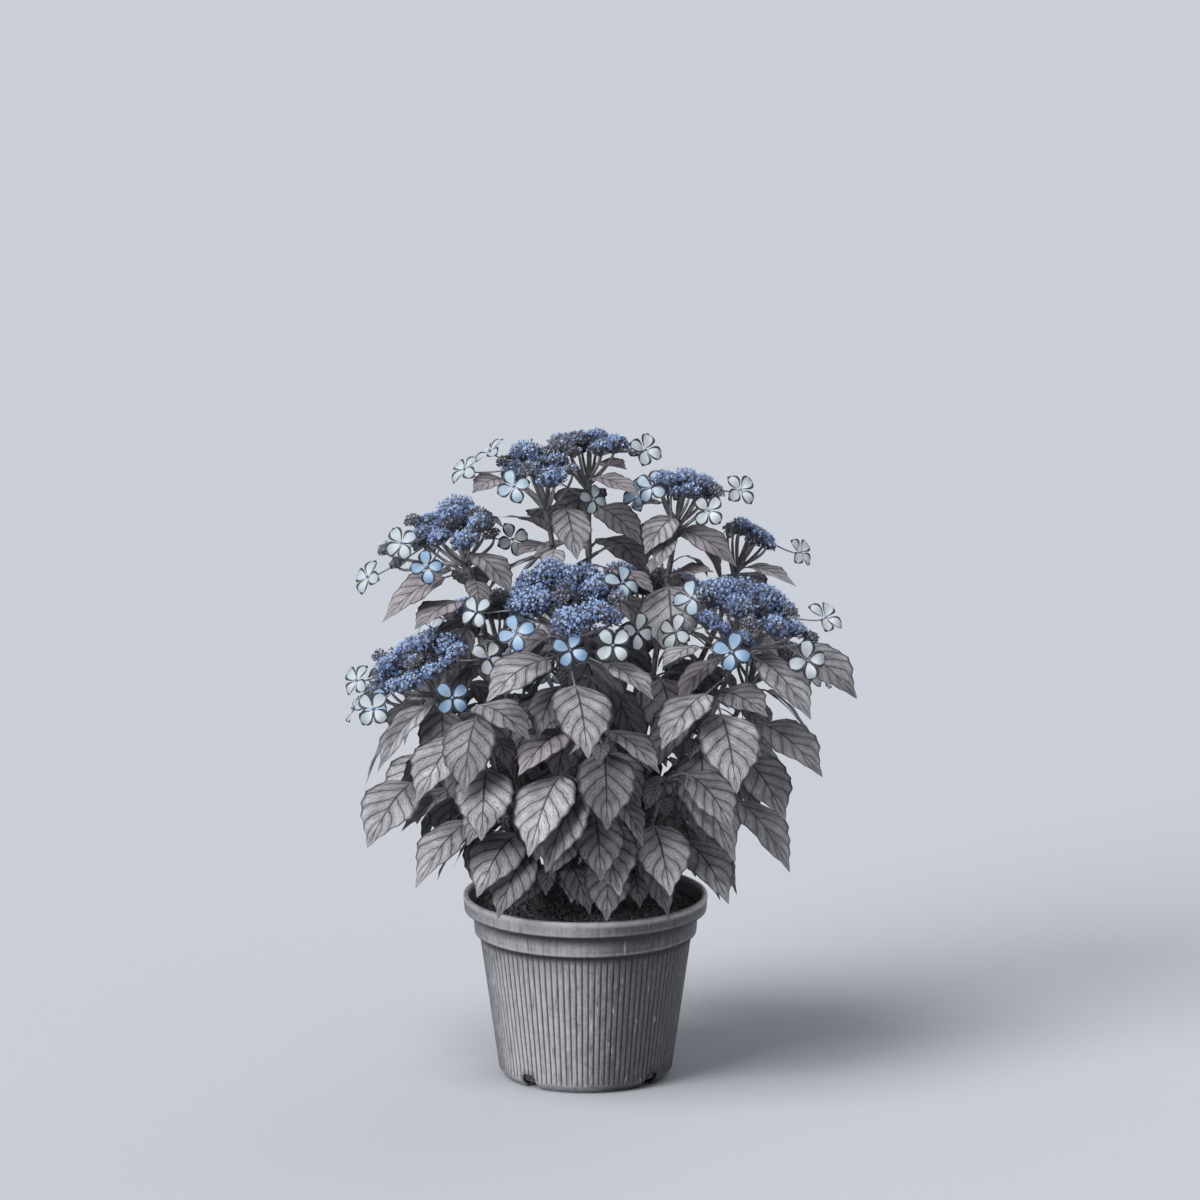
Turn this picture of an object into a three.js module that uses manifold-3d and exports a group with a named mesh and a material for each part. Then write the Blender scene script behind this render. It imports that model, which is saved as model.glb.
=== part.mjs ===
// Lacecap hydrangea, about 0.7 m tall, in a plastic nursery pot: woody canes rise from the compost,
// fork into boughs, and carry leafy flowering shoots and leafy side shoots.
// Millimetres, +Z up. The origin is the centre of the pot's flat underside, and -Y is the front.

import * as THREE from "three";
import { mergeVertices } from "three/addons/utils/BufferGeometryUtils.js";
import Module from "manifold-3d";

const wasm = await Module();
wasm.setup();

// ---------------------------------------------------------------- driving dimensions

const clearance = 0.3; // gap between two nodes that touch

const pot = {
  height: 198,
  rimRadius: 130, // outside of the rim band
  rimDepth: 18,
  collarRadius: 119.5, // outside of the band under the rim
  collarDepth: 24,
  bodyTopRadius: 113,
  bodyFootRadius: 92,
  footRadius: 84, // flat ring that it stands on
  footBevel: 8,
  wall: 2.6,
  lip: 5.5, // width of the rolled lip seen from above
  sides: 32,
  notchCount: 4, // drain notches in the foot
  notchTurn: 49, // degrees from +X to the first notch, seen from above, less 90
  notchWidth: 19,
  notchHeight: 16,
};

const compost = { level: 190, edgeDrop: 6, plateauRadius: 64, sides: 20 };

// Heads of blossom: centre, radius of the fertile dome and its lean outward in degrees. Showy florets
// are listed twice: seen ones by their offset across and up the front view and by how much they turn
// from the viewer to face outward, 0 to 1, and the ones behind by their bearing round the head,
// 0 to the right and 90 away from the front.
const heads = [
  { name: "top", at: [4, 50, 673], radius: 44, lean: 6, seen: [[59, -3, 0.1]], behind: [40, 110] },
  {
    name: "upper_left",
    at: [-52, 4, 660],
    radius: 40,
    lean: 14,
    seen: [[-24, -18, 0], [-76, 0, 0.6], [-49, 19, 0.8], [60, -32, 0]],
    behind: [118],
  },
  {
    name: "upper_right",
    at: [106, 40, 632],
    radius: 41,
    lean: 14,
    seen: [[58, -3, 0.2], [24, -25, 0], [-36, 0, 0.1], [-50, -8, 0.4]],
    behind: [85],
  },
  { name: "far_right", at: [176, 85, 570], radius: 30, lean: 24, seen: [[52, -20, 0.6]], behind: [110] },
  {
    name: "left",
    at: [-141, 20, 590],
    radius: 50,
    lean: 22,
    seen: [[-54, -14, 0.1], [-27, -39, 0], [-90, -50, 0.5], [63, -10, 0]],
    behind: [60, 120],
  },
  {
    name: "front",
    at: [-20, -122, 546],
    radius: 63,
    lean: 28,
    seen: [[-53, -32, 0], [4, -50, 0], [49, -45, 0], [75, -31, 0.2], [59, 21, 0.2], [-95, -10, 0.3]],
    behind: [],
  },
  {
    name: "right",
    at: [176, -68, 518],
    radius: 64,
    lean: 24,
    seen: [[-63, 19, 0], [-21, -38, 0], [78, -2, 0.6], [59, -47, 0.1], [-81, -17, 0]],
    behind: [],
  },
  {
    name: "lower_left",
    at: [-176, -52, 464],
    radius: 56,
    lean: 26,
    seen: [[-49, -50, 0.1], [-66, -20, 0.6], [35, -38, 0], [73, 4, 0]],
    behind: [130],
  },
  {
    name: "back_left",
    at: [-104, 138, 476],
    radius: 52,
    lean: 24,
    seen: [],
    behind: [10, 62, 108, 150, 200],
  },
  {
    name: "back_right",
    at: [72, 176, 492],
    radius: 54,
    lean: 26,
    seen: [],
    behind: [-20, 30, 76, 122, 175],
  },
  {
    name: "low_back_left",
    at: [-196, 88, 412],
    radius: 46,
    lean: 30,
    seen: [],
    behind: [70, 120, 175, 230],
  },
  {
    name: "low_back_right",
    at: [190, 108, 440],
    radius: 52,
    lean: 26,
    seen: [],
    behind: [-40, 6, 50, 98],
  },
  {
    name: "low_back",
    at: [-18, 222, 412],
    radius: 54,
    lean: 30,
    seen: [],
    behind: [10, 60, 104, 150, 190],
  },
];

// Canes: the head that each leads to, and the heads whose boughs fork from it.
const canes = [
  { name: "middle", leader: "top", sides: ["upper_left"] },
  { name: "right_back", leader: "upper_right", sides: ["far_right"] },
  { name: "left", leader: "left", sides: ["back_left"] },
  { name: "left_front", leader: "lower_left", sides: ["low_back_left"] },
  { name: "front", leader: "front", sides: [] },
  { name: "right_front", leader: "right", sides: ["low_back_right"] },
  { name: "back", leader: "back_right", sides: ["low_back"] },
];

const wood = {
  footSpread: 46, // how far from the pot's axis an outer cane leaves the compost
  buried: 8, // length of a cane's curve below the flat cut at its foot
  footRadius: 7.4,
  forkRadius: 5.4,
  boughRadius: 4.2,
  shootRadius: 3.6,
  peduncleRadius: 2.7,
  caneEnd: 0.27, // shares of the way from the compost to the head
  boughEnd: 0.42,
  sideFork: 0.19,
  sideBoughEnd: 0.2,
};

// Tiers of leafy side shoots: the kind of limb that they leave and how far along it, the distance
// from the axis and height that their tips come to, and what leaves they carry.
const tiers = [
  {
    name: "skirt",
    from: "cane_",
    count: 8,
    turn: 20,
    leaveAt: 0.24,
    reach: 100,
    height: 265,
    pairs: 2,
    leafLength: 92,
  },
  {
    name: "flank",
    from: "cane_",
    count: 8,
    turn: 2,
    leaveAt: 0.42,
    reach: 142,
    height: 338,
    pairs: 3,
    leafLength: 98,
  },
  {
    name: "shoulder",
    from: "bough_",
    count: 6,
    turn: 38,
    leaveAt: 0.6,
    reach: 150,
    height: 412,
    pairs: 3,
    leafLength: 96,
  },
];

// Leaves of the crown's face, as the front view shows them: the blade's base across and up, its tip
// across and up, the base's place behind the pot's axis (less than zero is towards the viewer),
// and the blade's true length. Each hangs on a twig from the nearest shoot.
const frontTilt = 14; // degrees that the front view looks down
const faceLeaves = [
  [-149, 527, -216, 479, 0, 84],
  [-133, 501, -181, 471, 15, 76],
  [-119, 553, -78, 508, -4, 70],
  [-41, 577, -93, 591, 0, 64],
  [-35, 561, -73, 549, 26, 62],
  [-22, 601, -9, 545, 2, 66],
  [12, 602, 60, 561, 28, 70],
  [8, 632, 58, 612, 38, 62],
  [93, 591, 63, 551, 24, 58],
  [100, 577, 161, 538, 28, 76],
  [-6, 535, 42, 563, 50, 64],
  [29, 535, 74, 508, 12, 66],
  [86, 527, 137, 532, 30, 62],
  [171, 538, 224, 517, 76, 62],
  [-88, 632, -120, 616, 12, 48],
  [12, 648, 44, 641, 62, 46],
  [82, 606, 47, 602, 52, 46],
  [-162, 394, -221, 320, -62, 98],
  [-131, 358, -179, 288, -98, 98],
  [-184, 309, -231, 240, -40, 96],
  [-120, 270, -180, 198, -82, 104],
  [-105, 323, -110, 248, -126, 90],
  [-73, 256, -115, 188, -92, 92],
  [-27, 317, -60, 231, -142, 104],
  [-11, 413, 3, 335, -156, 94],
  [-40, 441, -105, 395, -132, 90],
  [-115, 392, -58, 355, -112, 86],
  [-22, 365, -71, 317, -118, 82],
  [12, 266, 36, 189, -116, 92],
  [72, 264, 90, 189, -104, 90],
  [23, 365, 79, 319, -138, 84],
  [13, 338, 59, 283, -112, 84],
  [26, 305, 32, 269, -84, 56],
  [-16, 256, -38, 209, -84, 62],
  [-8, 230, -15, 181, -66, 58],
  [50, 220, 58, 176, -60, 54],
  [-45, 209, -75, 177, -56, 52],
  [127, 404, 80, 344, -124, 90],
  [143, 383, 160, 298, -128, 100],
  [141, 405, 193, 379, -64, 78],
  [185, 372, 251, 315, -54, 98],
  [185, 439, 238, 376, -92, 94],
  [222, 450, 288, 398, -34, 92],
  [103, 312, 159, 225, -122, 108],
  [159, 291, 217, 214, -62, 104],
  [167, 336, 212, 269, -30, 90],
  [103, 251, 152, 181, -70, 96],
  [19, 436, 72, 397, -134, 84],
  [118, 453, 81, 432, -104, 60],
  [90, 315, 63, 280, -96, 58],
  [-133, 305, -195, 257, -50, 88],
];

const foliage = {
  internode: 50, // between two pairs of leaves on a flowering shoot
  topLeaf: 72, // length of the blades just below a head
  fullLeaf: 100, // length of a full-grown blade
  widthShare: 0.7,
  petiole: 24,
  stalkRadius: 1.7,
  keel: 1.5, // thickness under the midrib
  faceDroop: 20, // degrees that half a face leaf's midrib bends
  rimHeight: 203, // lowest point that a leaf reaches outside the pot's mouth
  reach: 292, // furthest that a leaf reaches from the pot's axis
  tries: 18,
};

const blossom = {
  rayLength: 40, // from the peduncle's tip to the dome's middle
  rays: [[200, 14], [330, 6]], // bearing of each side ray, and how far below the foot it leaves
  domeRise: 0.5, // height of the dome above its middle, as a share of its radius
  domeSink: 0.3,
  lumps: 6, // swellings round the dome's edge, one to a cluster
  floretThickness: 1.6,
};

// ---------------------------------------------------------------- small tools

const up = new THREE.Vector3(0, 0, 1);
const radians = THREE.MathUtils.degToRad;
const mix = (low, high, share) => low + (high - low) * share;
const bearing = (degrees) => new THREE.Vector3(Math.cos(radians(degrees)), Math.sin(radians(degrees)), 0);

// Repeatable chance: a Lehmer generator, warmed up so that neighbouring seeds differ.
function chanceFrom(seed) {
  let state = (seed * 7919 + 104729) % 2147483647;
  const draw = (low, high) => {
    state = (state * 16807) % 2147483647;
    return mix(low, high, state / 2147483647);
  };
  draw(0, 1);
  draw(0, 1);
  return draw;
}

function solidOf(geometry) {
  const bare = geometry.clone();
  bare.deleteAttribute("normal");
  bare.deleteAttribute("uv");
  const merged = mergeVertices(bare, 1e-4);
  return new wasm.Manifold(
    new wasm.Mesh({
      numProp: 3,
      vertProperties: merged.attributes.position.array,
      triVerts: new Uint32Array(merged.index.array),
    }),
  );
}

// Joins solids into one and drops any scrap that stays loose.
function joined(solids) {
  const whole = solids.reduce((sum, solid) => sum.add(solid));
  return whole.decompose().sort((a, b) => b.volume() - a.volume())[0];
}

function meshOf(solid, name, material) {
  const { vertProperties, triVerts } = solid.getMesh();
  const geometry = new THREE.BufferGeometry();
  geometry.setAttribute("position", new THREE.BufferAttribute(vertProperties, 3));
  geometry.setIndex(new THREE.BufferAttribute(triVerts, 1));
  geometry.computeVertexNormals();
  const mesh = new THREE.Mesh(geometry, material);
  mesh.name = name;
  return mesh;
}

// Moves each vertex of a closed three.js geometry to where place(vertex) says.
function reshaped(geometry, place) {
  const position = geometry.attributes.position;
  const vertex = new THREE.Vector3();
  for (let i = 0; i < position.count; i++) {
    const moved = place(vertex.fromBufferAttribute(position, i));
    position.setXYZ(i, moved.x, moved.y, moved.z);
  }
  return geometry;
}

// A tapering limb: a closed cylinder bent along a list of points.
function limb(points, startRadius, endRadius, sides) {
  const path = new THREE.CatmullRomCurve3(points);
  const steps = points.length - 1;
  const frames = path.computeFrenetFrames(steps);
  const stations = Array.from({ length: steps + 1 }, (_, k) => path.getPointAt(k / steps));
  const straight = new THREE.CylinderGeometry(endRadius, startRadius, steps, sides, steps);
  const bent = reshaped(straight, (v) => {
    const k = Math.round(v.y + steps / 2);
    const middle = stations[k].clone();
    return middle.addScaledVector(frames.normals[k], v.x).addScaledVector(frames.binormals[k], -v.z);
  });
  return solidOf(bent);
}

function pointsAlong(curve, start, end, steps) {
  return Array.from({ length: steps + 1 }, (_, k) => curve.getPoint(mix(start, end, k / steps)));
}

// ---------------------------------------------------------------- pot and compost

function revolved(profile, sides) {
  const outline = profile.map(([radius, height]) => new THREE.Vector2(radius, height));
  return new THREE.LatheGeometry(outline, sides).rotateX(Math.PI / 2);
}

function potSolid() {
  const rimFoot = pot.height - pot.rimDepth;
  const collarFoot = rimFoot - pot.collarDepth;
  const outside = [
    [0, 0],
    [pot.footRadius, 0],
    [pot.bodyFootRadius, pot.footBevel],
    [pot.bodyTopRadius, collarFoot],
    [pot.collarRadius - 1.5, collarFoot],
    [pot.collarRadius, rimFoot],
    [pot.rimRadius - 1, rimFoot],
    [pot.rimRadius, pot.height - 2],
    [pot.rimRadius - 2, pot.height],
  ];
  const inside = [
    [pot.rimRadius - pot.lip + 1, pot.height],
    [pot.rimRadius - pot.lip, pot.height - 2],
    [pot.collarRadius - pot.wall, rimFoot - 2],
    [pot.bodyTopRadius - pot.wall, collarFoot - 3],
    [pot.bodyFootRadius - pot.wall, pot.footBevel],
    [pot.footRadius - 1, pot.wall],
    [0, pot.wall],
  ];
  let body = solidOf(revolved([...outside, ...inside], pot.sides));
  for (let k = 0; k < pot.notchCount; k++) body = body.subtract(notchSolid(k));
  return body;
}

// One drain notch: an arch cut through the foot of the wall.
function notchSolid(index) {
  const half = pot.notchWidth / 2;
  const arch = new THREE.Shape();
  arch.moveTo(-half, -1);
  arch.lineTo(half, -1);
  arch.lineTo(half - 2, pot.notchHeight * 0.6);
  arch.quadraticCurveTo(half - 3, pot.notchHeight, half - 7, pot.notchHeight);
  arch.lineTo(7 - half, pot.notchHeight);
  arch.quadraticCurveTo(3 - half, pot.notchHeight, 2 - half, pot.notchHeight * 0.6);
  arch.closePath();
  const cut = new THREE.ExtrudeGeometry(arch, { depth: 24, bevelEnabled: false, curveSegments: 3 })
    .rotateX(Math.PI / 2)
    .translate(0, pot.footRadius + 16, 0)
    .rotateZ(radians(pot.notchTurn + 90 + (index * 360) / pot.notchCount));
  return solidOf(cut);
}

function compostSolid() {
  const rimFoot = pot.height - pot.rimDepth;
  const inset = pot.wall + clearance + 0.7; // clears the flats between the pot's corners too
  const edgeLevel = compost.level - compost.edgeDrop;
  const profile = [
    [0, pot.wall + clearance],
    [pot.footRadius - 2 * inset, pot.wall + clearance],
    [pot.bodyFootRadius - inset - 1, pot.footBevel],
    [pot.bodyTopRadius - inset - 0.5, rimFoot - pot.collarDepth - 3],
    [pot.collarRadius - inset - 0.5, rimFoot - 3],
    [pot.collarRadius - inset + 2, edgeLevel - 1],
    [pot.collarRadius - inset - 6, edgeLevel],
    [compost.plateauRadius + 18, compost.level - 2],
    [compost.plateauRadius, compost.level],
    [0, compost.level],
  ];
  return solidOf(revolved(profile, compost.sides));
}

// ---------------------------------------------------------------- the space that growth has taken

const cell = 3.6;
const taken = new Map();
const cellOf = (p) => `${Math.floor(p.x / cell)},${Math.floor(p.y / cell)},${Math.floor(p.z / cell)}`;

function claim(points, owner) {
  for (const p of points) if (!taken.has(cellOf(p))) taken.set(cellOf(p), owner);
}

// Free means that no cell is taken, except by the shoot's own stem.
function isFree(points, owner) {
  return points.every((p) => [undefined, owner].includes(taken.get(cellOf(p))));
}

// Points round a limb, close enough together to mark every cell that it passes through.
function skinOf(points, radius) {
  const skin = [];
  for (const p of points) {
    for (const [dx, dy] of [[0, 0], [1, 0], [-1, 0], [0, 1], [0, -1]]) {
      skin.push(new THREE.Vector3(p.x + dx * radius, p.y + dy * radius, p.z));
    }
  }
  return skin;
}

// Points on a straight stalk, leaving out its first few millimetres.
function stalkSkin(root, end, skipped, radius) {
  const span = root.distanceTo(end);
  const count = Math.max(1, Math.ceil((span - skipped) / 3));
  const points = Array.from({ length: count + 1 }, (_, k) =>
    new THREE.Vector3().lerpVectors(root, end, (skipped + ((span - skipped) * k) / count) / span),
  );
  return span > skipped ? skinOf(points, radius) : [];
}

// ---------------------------------------------------------------- leaves

const bladeRows = [0, 0.3, 0.7, 1]; // shares of the length where the blade has a section

// Half-width of a blade along its length, as a share of its widest.
function leafOutline(along) {
  const [rise, fall, peak] = [0.62, 1.08, 0.3283];
  return (Math.pow(along, rise) * Math.pow(1 - along, fall)) / peak;
}

// A leaf's own axes at one place: forward along the midrib, side to the left and normal off its face.
function leafAxes(leaf, along) {
  const pitch = mix(leaf.startPitch, leaf.endPitch, along);
  const forward = leaf.heading.clone().multiplyScalar(Math.cos(pitch)).addScaledVector(up, Math.sin(pitch));
  const left = new THREE.Vector3().crossVectors(up, leaf.heading);
  const face = new THREE.Vector3().crossVectors(forward, left);
  const side = left.clone().multiplyScalar(Math.cos(leaf.roll)).addScaledVector(face, Math.sin(leaf.roll));
  return { forward, side, normal: new THREE.Vector3().crossVectors(forward, side) };
}

// A point of a blade: its midrib droops evenly from startPitch to endPitch, its halves rise a little
// from the midrib to the margin, and lift is measured square to it.
function leafPoint(leaf, along, across, lift) {
  const bend = leaf.endPitch - leaf.startPitch;
  const pitch = leaf.startPitch + bend * along;
  const out = (leaf.length * (Math.sin(pitch) - Math.sin(leaf.startPitch))) / bend;
  const rise = (leaf.length * (Math.cos(leaf.startPitch) - Math.cos(pitch))) / bend;
  const { side, normal } = leafAxes(leaf, along);
  const halfWidth = (leaf.width / 2) * leafOutline(along);
  return leaf.base
    .clone()
    .addScaledVector(leaf.heading, out)
    .addScaledVector(up, rise)
    .addScaledVector(side, across * halfWidth)
    .addScaledVector(normal, 0.08 * halfWidth * Math.abs(across) + lift);
}

// Points all over a leaf, between the same sections as its solid.
function leafSkin(leaf) {
  const skin = [];
  for (let row = 1; row < bladeRows.length; row++) {
    for (let i = 1; i <= 11; i++) {
      for (let j = -9; j <= 9; j++) {
        for (const lift of [-1.6, 1.6]) {
          const low = leafPoint(leaf, bladeRows[row - 1], j / 9, lift);
          skin.push(low.lerp(leafPoint(leaf, bladeRows[row], j / 9, lift), i / 11));
        }
      }
    }
  }
  return [...skin, ...stalkSkin(leaf.root, leaf.base, 7, 1.5)];
}

// Whether a blade keeps inside the crown and above the pot's rim.
function isInReach(points) {
  return points.every((p) => {
    const radius = Math.hypot(p.x, p.y);
    const floor = radius > pot.rimRadius - 20 ? foliage.rimHeight : compost.level + 5;
    return radius < foliage.reach && p.z > floor;
  });
}

// A leaf on its petiole, from the stem's middle, towards a bearing in degrees.
function leafAt(middle, degrees, length, hang, chance) {
  const heading = bearing(degrees);
  const petiole = foliage.petiole * mix(0.8, 1.1, length / foliage.fullLeaf);
  const root = middle.clone().addScaledVector(heading, 0.8);
  const base = root
    .clone()
    .addScaledVector(heading, petiole * 0.92)
    .addScaledVector(up, petiole * mix(0.4, 0.1, hang));
  return {
    root,
    base,
    heading,
    length,
    width: length * foliage.widthShare,
    startPitch: radians(mix(-4, -46, hang) + chance(-8, 8)),
    endPitch: radians(mix(-52, -84, hang) + chance(-8, 5)),
    roll: radians(chance(-16, 16)),
  };
}

// Grows one leaf where there is room: it turns, hangs or shrinks a little further at each try.
function growLeaf(root, degrees, length, hang, owner, seed) {
  const chance = chanceFrom(seed);
  for (let k = 0; k < foliage.tries; k++) {
    const turn = chance(-1, 1) * 6 * k;
    const shorter = 1 - 0.018 * k;
    const hung = Math.min(1, Math.max(0, hang + chance(-0.05, 0.05) * k));
    const leaf = leafAt(root, degrees + turn, length * shorter * chance(0.92, 1.06), hung, chance);
    const skin = leafSkin(leaf);
    if (isInReach(skin) && isFree(skin, owner)) {
      claim(skin, "leaf");
      return leaf;
    }
  }
  return null;
}

// The point whose front view is at across and rise, at a given place behind the pot's axis.
function fromFront(across, rise, behind) {
  const tilt = radians(frontTilt);
  return new THREE.Vector3(across, behind, (rise - behind * Math.sin(tilt)) / Math.cos(tilt));
}

// A face leaf: its tip comes as far forward as its true length asks for.
function faceLeafAt([across, rise, tipAcross, tipRise, behind, length], nudge, roll) {
  const base = fromFront(across, rise, behind + nudge);
  const tilt = radians(frontTilt);
  const sideways = tipAcross - across;
  const droop = radians(foliage.faceDroop);
  const chord = (length * Math.sin(droop)) / droop;
  const deep = Math.sqrt(Math.max(0, chord * chord - sideways * sideways - (tipRise - rise) ** 2));
  const forwardStep = -deep * Math.cos(tilt) + (tipRise - rise) * Math.sin(tilt);
  const upStep = deep * Math.sin(tilt) + (tipRise - rise) * Math.cos(tilt);
  const step = new THREE.Vector3(sideways, forwardStep, upStep);
  const level = Math.hypot(step.x, step.y);
  const pitch = Math.atan2(step.z, level);
  const arc = (step.length() * droop) / Math.sin(droop);
  return {
    base,
    heading: new THREE.Vector3(step.x / level, step.y / level, 0),
    length: arc,
    width: arc * foliage.widthShare,
    startPitch: pitch + droop,
    endPitch: pitch - droop,
    roll,
  };
}

// Grows the face leaves, each from the nearest place on a shoot's stem, with its depth eased until
// it has room.
function growFaceLeaves(shoots) {
  const alongStem = ({ curve, start }) => pointsAlong(curve, start + 0.04, 0.97, 30);
  const stems = shoots.map((shoot) => ({ shoot, points: alongStem(shoot) }));
  const leaves = [];
  faceLeaves.forEach((row, index) => {
    const chance = chanceFrom(500 + index);
    const roll = radians(chance(-12, 12));
    for (let k = 0; k < 3 * foliage.tries; k++) {
      const leaf = faceLeafAt(row, chance(-1, 1) * 1.6 * k, roll);
      const below = (p) => p.distanceTo(leaf.base) + Math.max(0, p.z - leaf.base.z);
      const near = stems
        .flatMap(({ shoot, points }) => points.map((point) => ({ shoot, point, far: below(point) })))
        .reduce((best, one) => (one.far < best.far ? one : best));
      leaf.root = near.point;
      const skin = leafSkin(leaf);
      if (isInReach(skin) && isFree(skin, near.shoot.name)) {
        claim(skin, "leaf");
        leaves.push({ leaf, owner: near.shoot.name });
        return;
      }
    }
  });
  return leaves;
}

// Leaf and stalk are one three-sided spindle: two margins and a keel under the midrib.
function leafSolid(leaf) {
  const rows = bladeRows.length;
  const stalk = leaf.base.clone().sub(leaf.root).normalize();
  const blade = reshaped(new THREE.ConeGeometry(1, rows, 3, rows), (v) => {
    const row = Math.round(v.y + rows / 2);
    const axes = leafAxes(leaf, 0);
    if (row > 1) {
      const along = bladeRows[row - 1];
      const across = row === rows || v.z > 0.01 ? 0 : Math.sign(v.x);
      return leafPoint(leaf, along, across, across === 0 && row < rows ? -foliage.keel : 0);
    }
    const forward = row === 0 ? stalk : stalk.clone().add(axes.forward).normalize();
    const side = axes.side.clone().addScaledVector(forward, -axes.side.dot(forward)).normalize();
    const normal = new THREE.Vector3().crossVectors(forward, side);
    const girth = Math.max(Math.hypot(v.x, v.z), 1e-9);
    const isRim = Math.hypot(v.x, v.z) > 0.1;
    const radius = isRim ? foliage.stalkRadius * (row === 0 ? 1 : 0.75) : 0;
    const middle = (row === 0 ? leaf.root : leaf.base).clone();
    middle.addScaledVector(side, (radius * v.x) / girth);
    return middle.addScaledVector(normal, (-radius * v.z) / girth);
  });
  return solidOf(blade);
}

// ---------------------------------------------------------------- heads of blossom

// Where a head's parts lie: its own axes, the peduncle's tip, and the showy florets.
function headPlan(head) {
  const centre = new THREE.Vector3(...head.at);
  const outward = new THREE.Vector3(centre.x, centre.y, 0).normalize();
  const lean = radians(head.lean);
  const axis = up.clone().multiplyScalar(Math.cos(lean)).addScaledVector(outward, Math.sin(lean));
  const right = new THREE.Vector3(1, 0, 0).addScaledVector(axis, -axis.x).normalize();
  const away = new THREE.Vector3().crossVectors(axis, right);
  const plan = { head, centre, axis, right, away, outward };
  plan.foot = centre.clone().addScaledVector(axis, -blossom.rayLength);
  const chance = chanceFrom(700 + heads.indexOf(head));
  const size = 14 + 0.14 * head.radius;
  const seen = head.seen.map(([across, rise]) => {
    const reach = Math.sqrt(Math.max(0, (1.15 * head.radius) ** 2 - across ** 2));
    return centre.clone().add(fromFront(across, rise, rise < 12 ? -0.85 * reach : 0.3 * reach));
  });
  const behind = head.behind.map((degrees) => domePoint(plan, degrees, 1.32, chance(-0.3, -0.1)));
  plan.florets = [...seen, ...behind].map((at, k) => {
    const turned = k < seen.length ? head.seen[k][2] : 1;
    const open = new THREE.Vector3(0, -0.9 * (1 - turned), 0.5); // showy florets turn to the light
    const face = at.clone().sub(centre).normalize().multiplyScalar(0.55).add(open);
    face.z += chance(-0.1, 0.2);
    return { at, face: face.normalize(), radius: size * chance(0.9, 1.04), spin: chance(0, 90) };
  });
  return plan;
}

// A point by its bearing round the head and its distance from the middle, in shares of the radius.
function domePoint(plan, degrees, outShare, upShare) {
  const radius = plan.head.radius;
  return plan.centre
    .clone()
    .addScaledVector(plan.right, radius * outShare * Math.cos(radians(degrees)))
    .addScaledVector(plan.away, radius * outShare * Math.sin(radians(degrees)))
    .addScaledVector(plan.axis, radius * upShare);
}

// The fertile dome: low, and swelling into clusters round its edge and at its top.
// Colatitude 0 is the top of the dome.
function domeSurface(plan, colatitude, degrees) {
  const girth = Math.sin(colatitude);
  const lump = 0.93 + 0.07 * Math.cos(radians(degrees) * blossom.lumps);
  const height = Math.cos(colatitude);
  const rise = height > 0 ? blossom.domeRise : blossom.domeSink;
  return domePoint(plan, degrees, girth * mix(1, lump, girth), height * rise);
}

function domeSolid(plan) {
  const dome = reshaped(new THREE.SphereGeometry(1, 12, 4).rotateX(Math.PI / 2), (v) => {
    const colatitude = Math.acos(Math.min(1, Math.max(-1, v.z)));
    return domeSurface(plan, colatitude, THREE.MathUtils.radToDeg(Math.atan2(v.y, v.x)));
  });
  return solidOf(dome);
}

function floretAxes(floret) {
  const right = new THREE.Vector3().crossVectors(up, floret.face).normalize();
  return { right, rise: new THREE.Vector3().crossVectors(floret.face, right) };
}

// Showy floret: four sepals as one four-lobed plate, a flattened double cone of eight sides.
function floretSolid(floret) {
  const { right, rise } = floretAxes(floret);
  const plate = reshaped(new THREE.SphereGeometry(1, 8, 2), (v) => {
    const isMiddle = Math.abs(v.y) > 0.5;
    const turn = Math.atan2(v.z, v.x);
    const lobe = Math.abs(Math.cos(2 * turn)) < 0.1 ? 0.58 : 1; // notch between two sepals
    const radius = isMiddle ? 0 : floret.radius * lobe;
    const angle = turn + radians(floret.spin);
    const lift = isMiddle ? (Math.sign(v.y) * blossom.floretThickness) / 2 : floret.radius * 0.08;
    return floret.at
      .clone()
      .addScaledVector(right, -radius * Math.cos(angle))
      .addScaledVector(rise, radius * Math.sin(angle))
      .addScaledVector(floret.face, lift);
  });
  return solidOf(plate);
}

// A floret's stalk starts inside the dome, at the part of it that is nearest.
function stalkRoot(plan, floret) {
  const reach = plan.centre.distanceTo(floret.at);
  return plan.centre.clone().lerp(floret.at, Math.min(0.6, (0.6 * plan.head.radius) / reach));
}

// The stalk meets the back of one sepal, a little off the floret's middle.
function stalkEnd(floret) {
  const { right, rise } = floretAxes(floret);
  const angle = radians(floret.spin + 22.5);
  const off = floret.radius * 0.2;
  return floret.at
    .clone()
    .addScaledVector(right, -off * Math.cos(angle))
    .addScaledVector(rise, off * Math.sin(angle))
    .addScaledVector(floret.face, off * 0.12);
}

// Side rays fork from the peduncle one above the other and end inside the dome.
function raysOf(plan) {
  return blossom.rays.map(([degrees, below]) => [
    plan.foot.clone().addScaledVector(plan.axis, -below),
    domePoint(plan, degrees, 0.6, -0.05),
  ]);
}

function headSolids(plan) {
  const rays = raysOf(plan).map(([from, to]) => limb([from, to], 1.9, 1.6, 3));
  const stalks = plan.florets.map((f) => limb([stalkRoot(plan, f), stalkEnd(f)], 1.3, 0.9, 3));
  return [domeSolid(plan), ...rays, ...stalks, ...plan.florets.map(floretSolid)];
}

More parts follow.
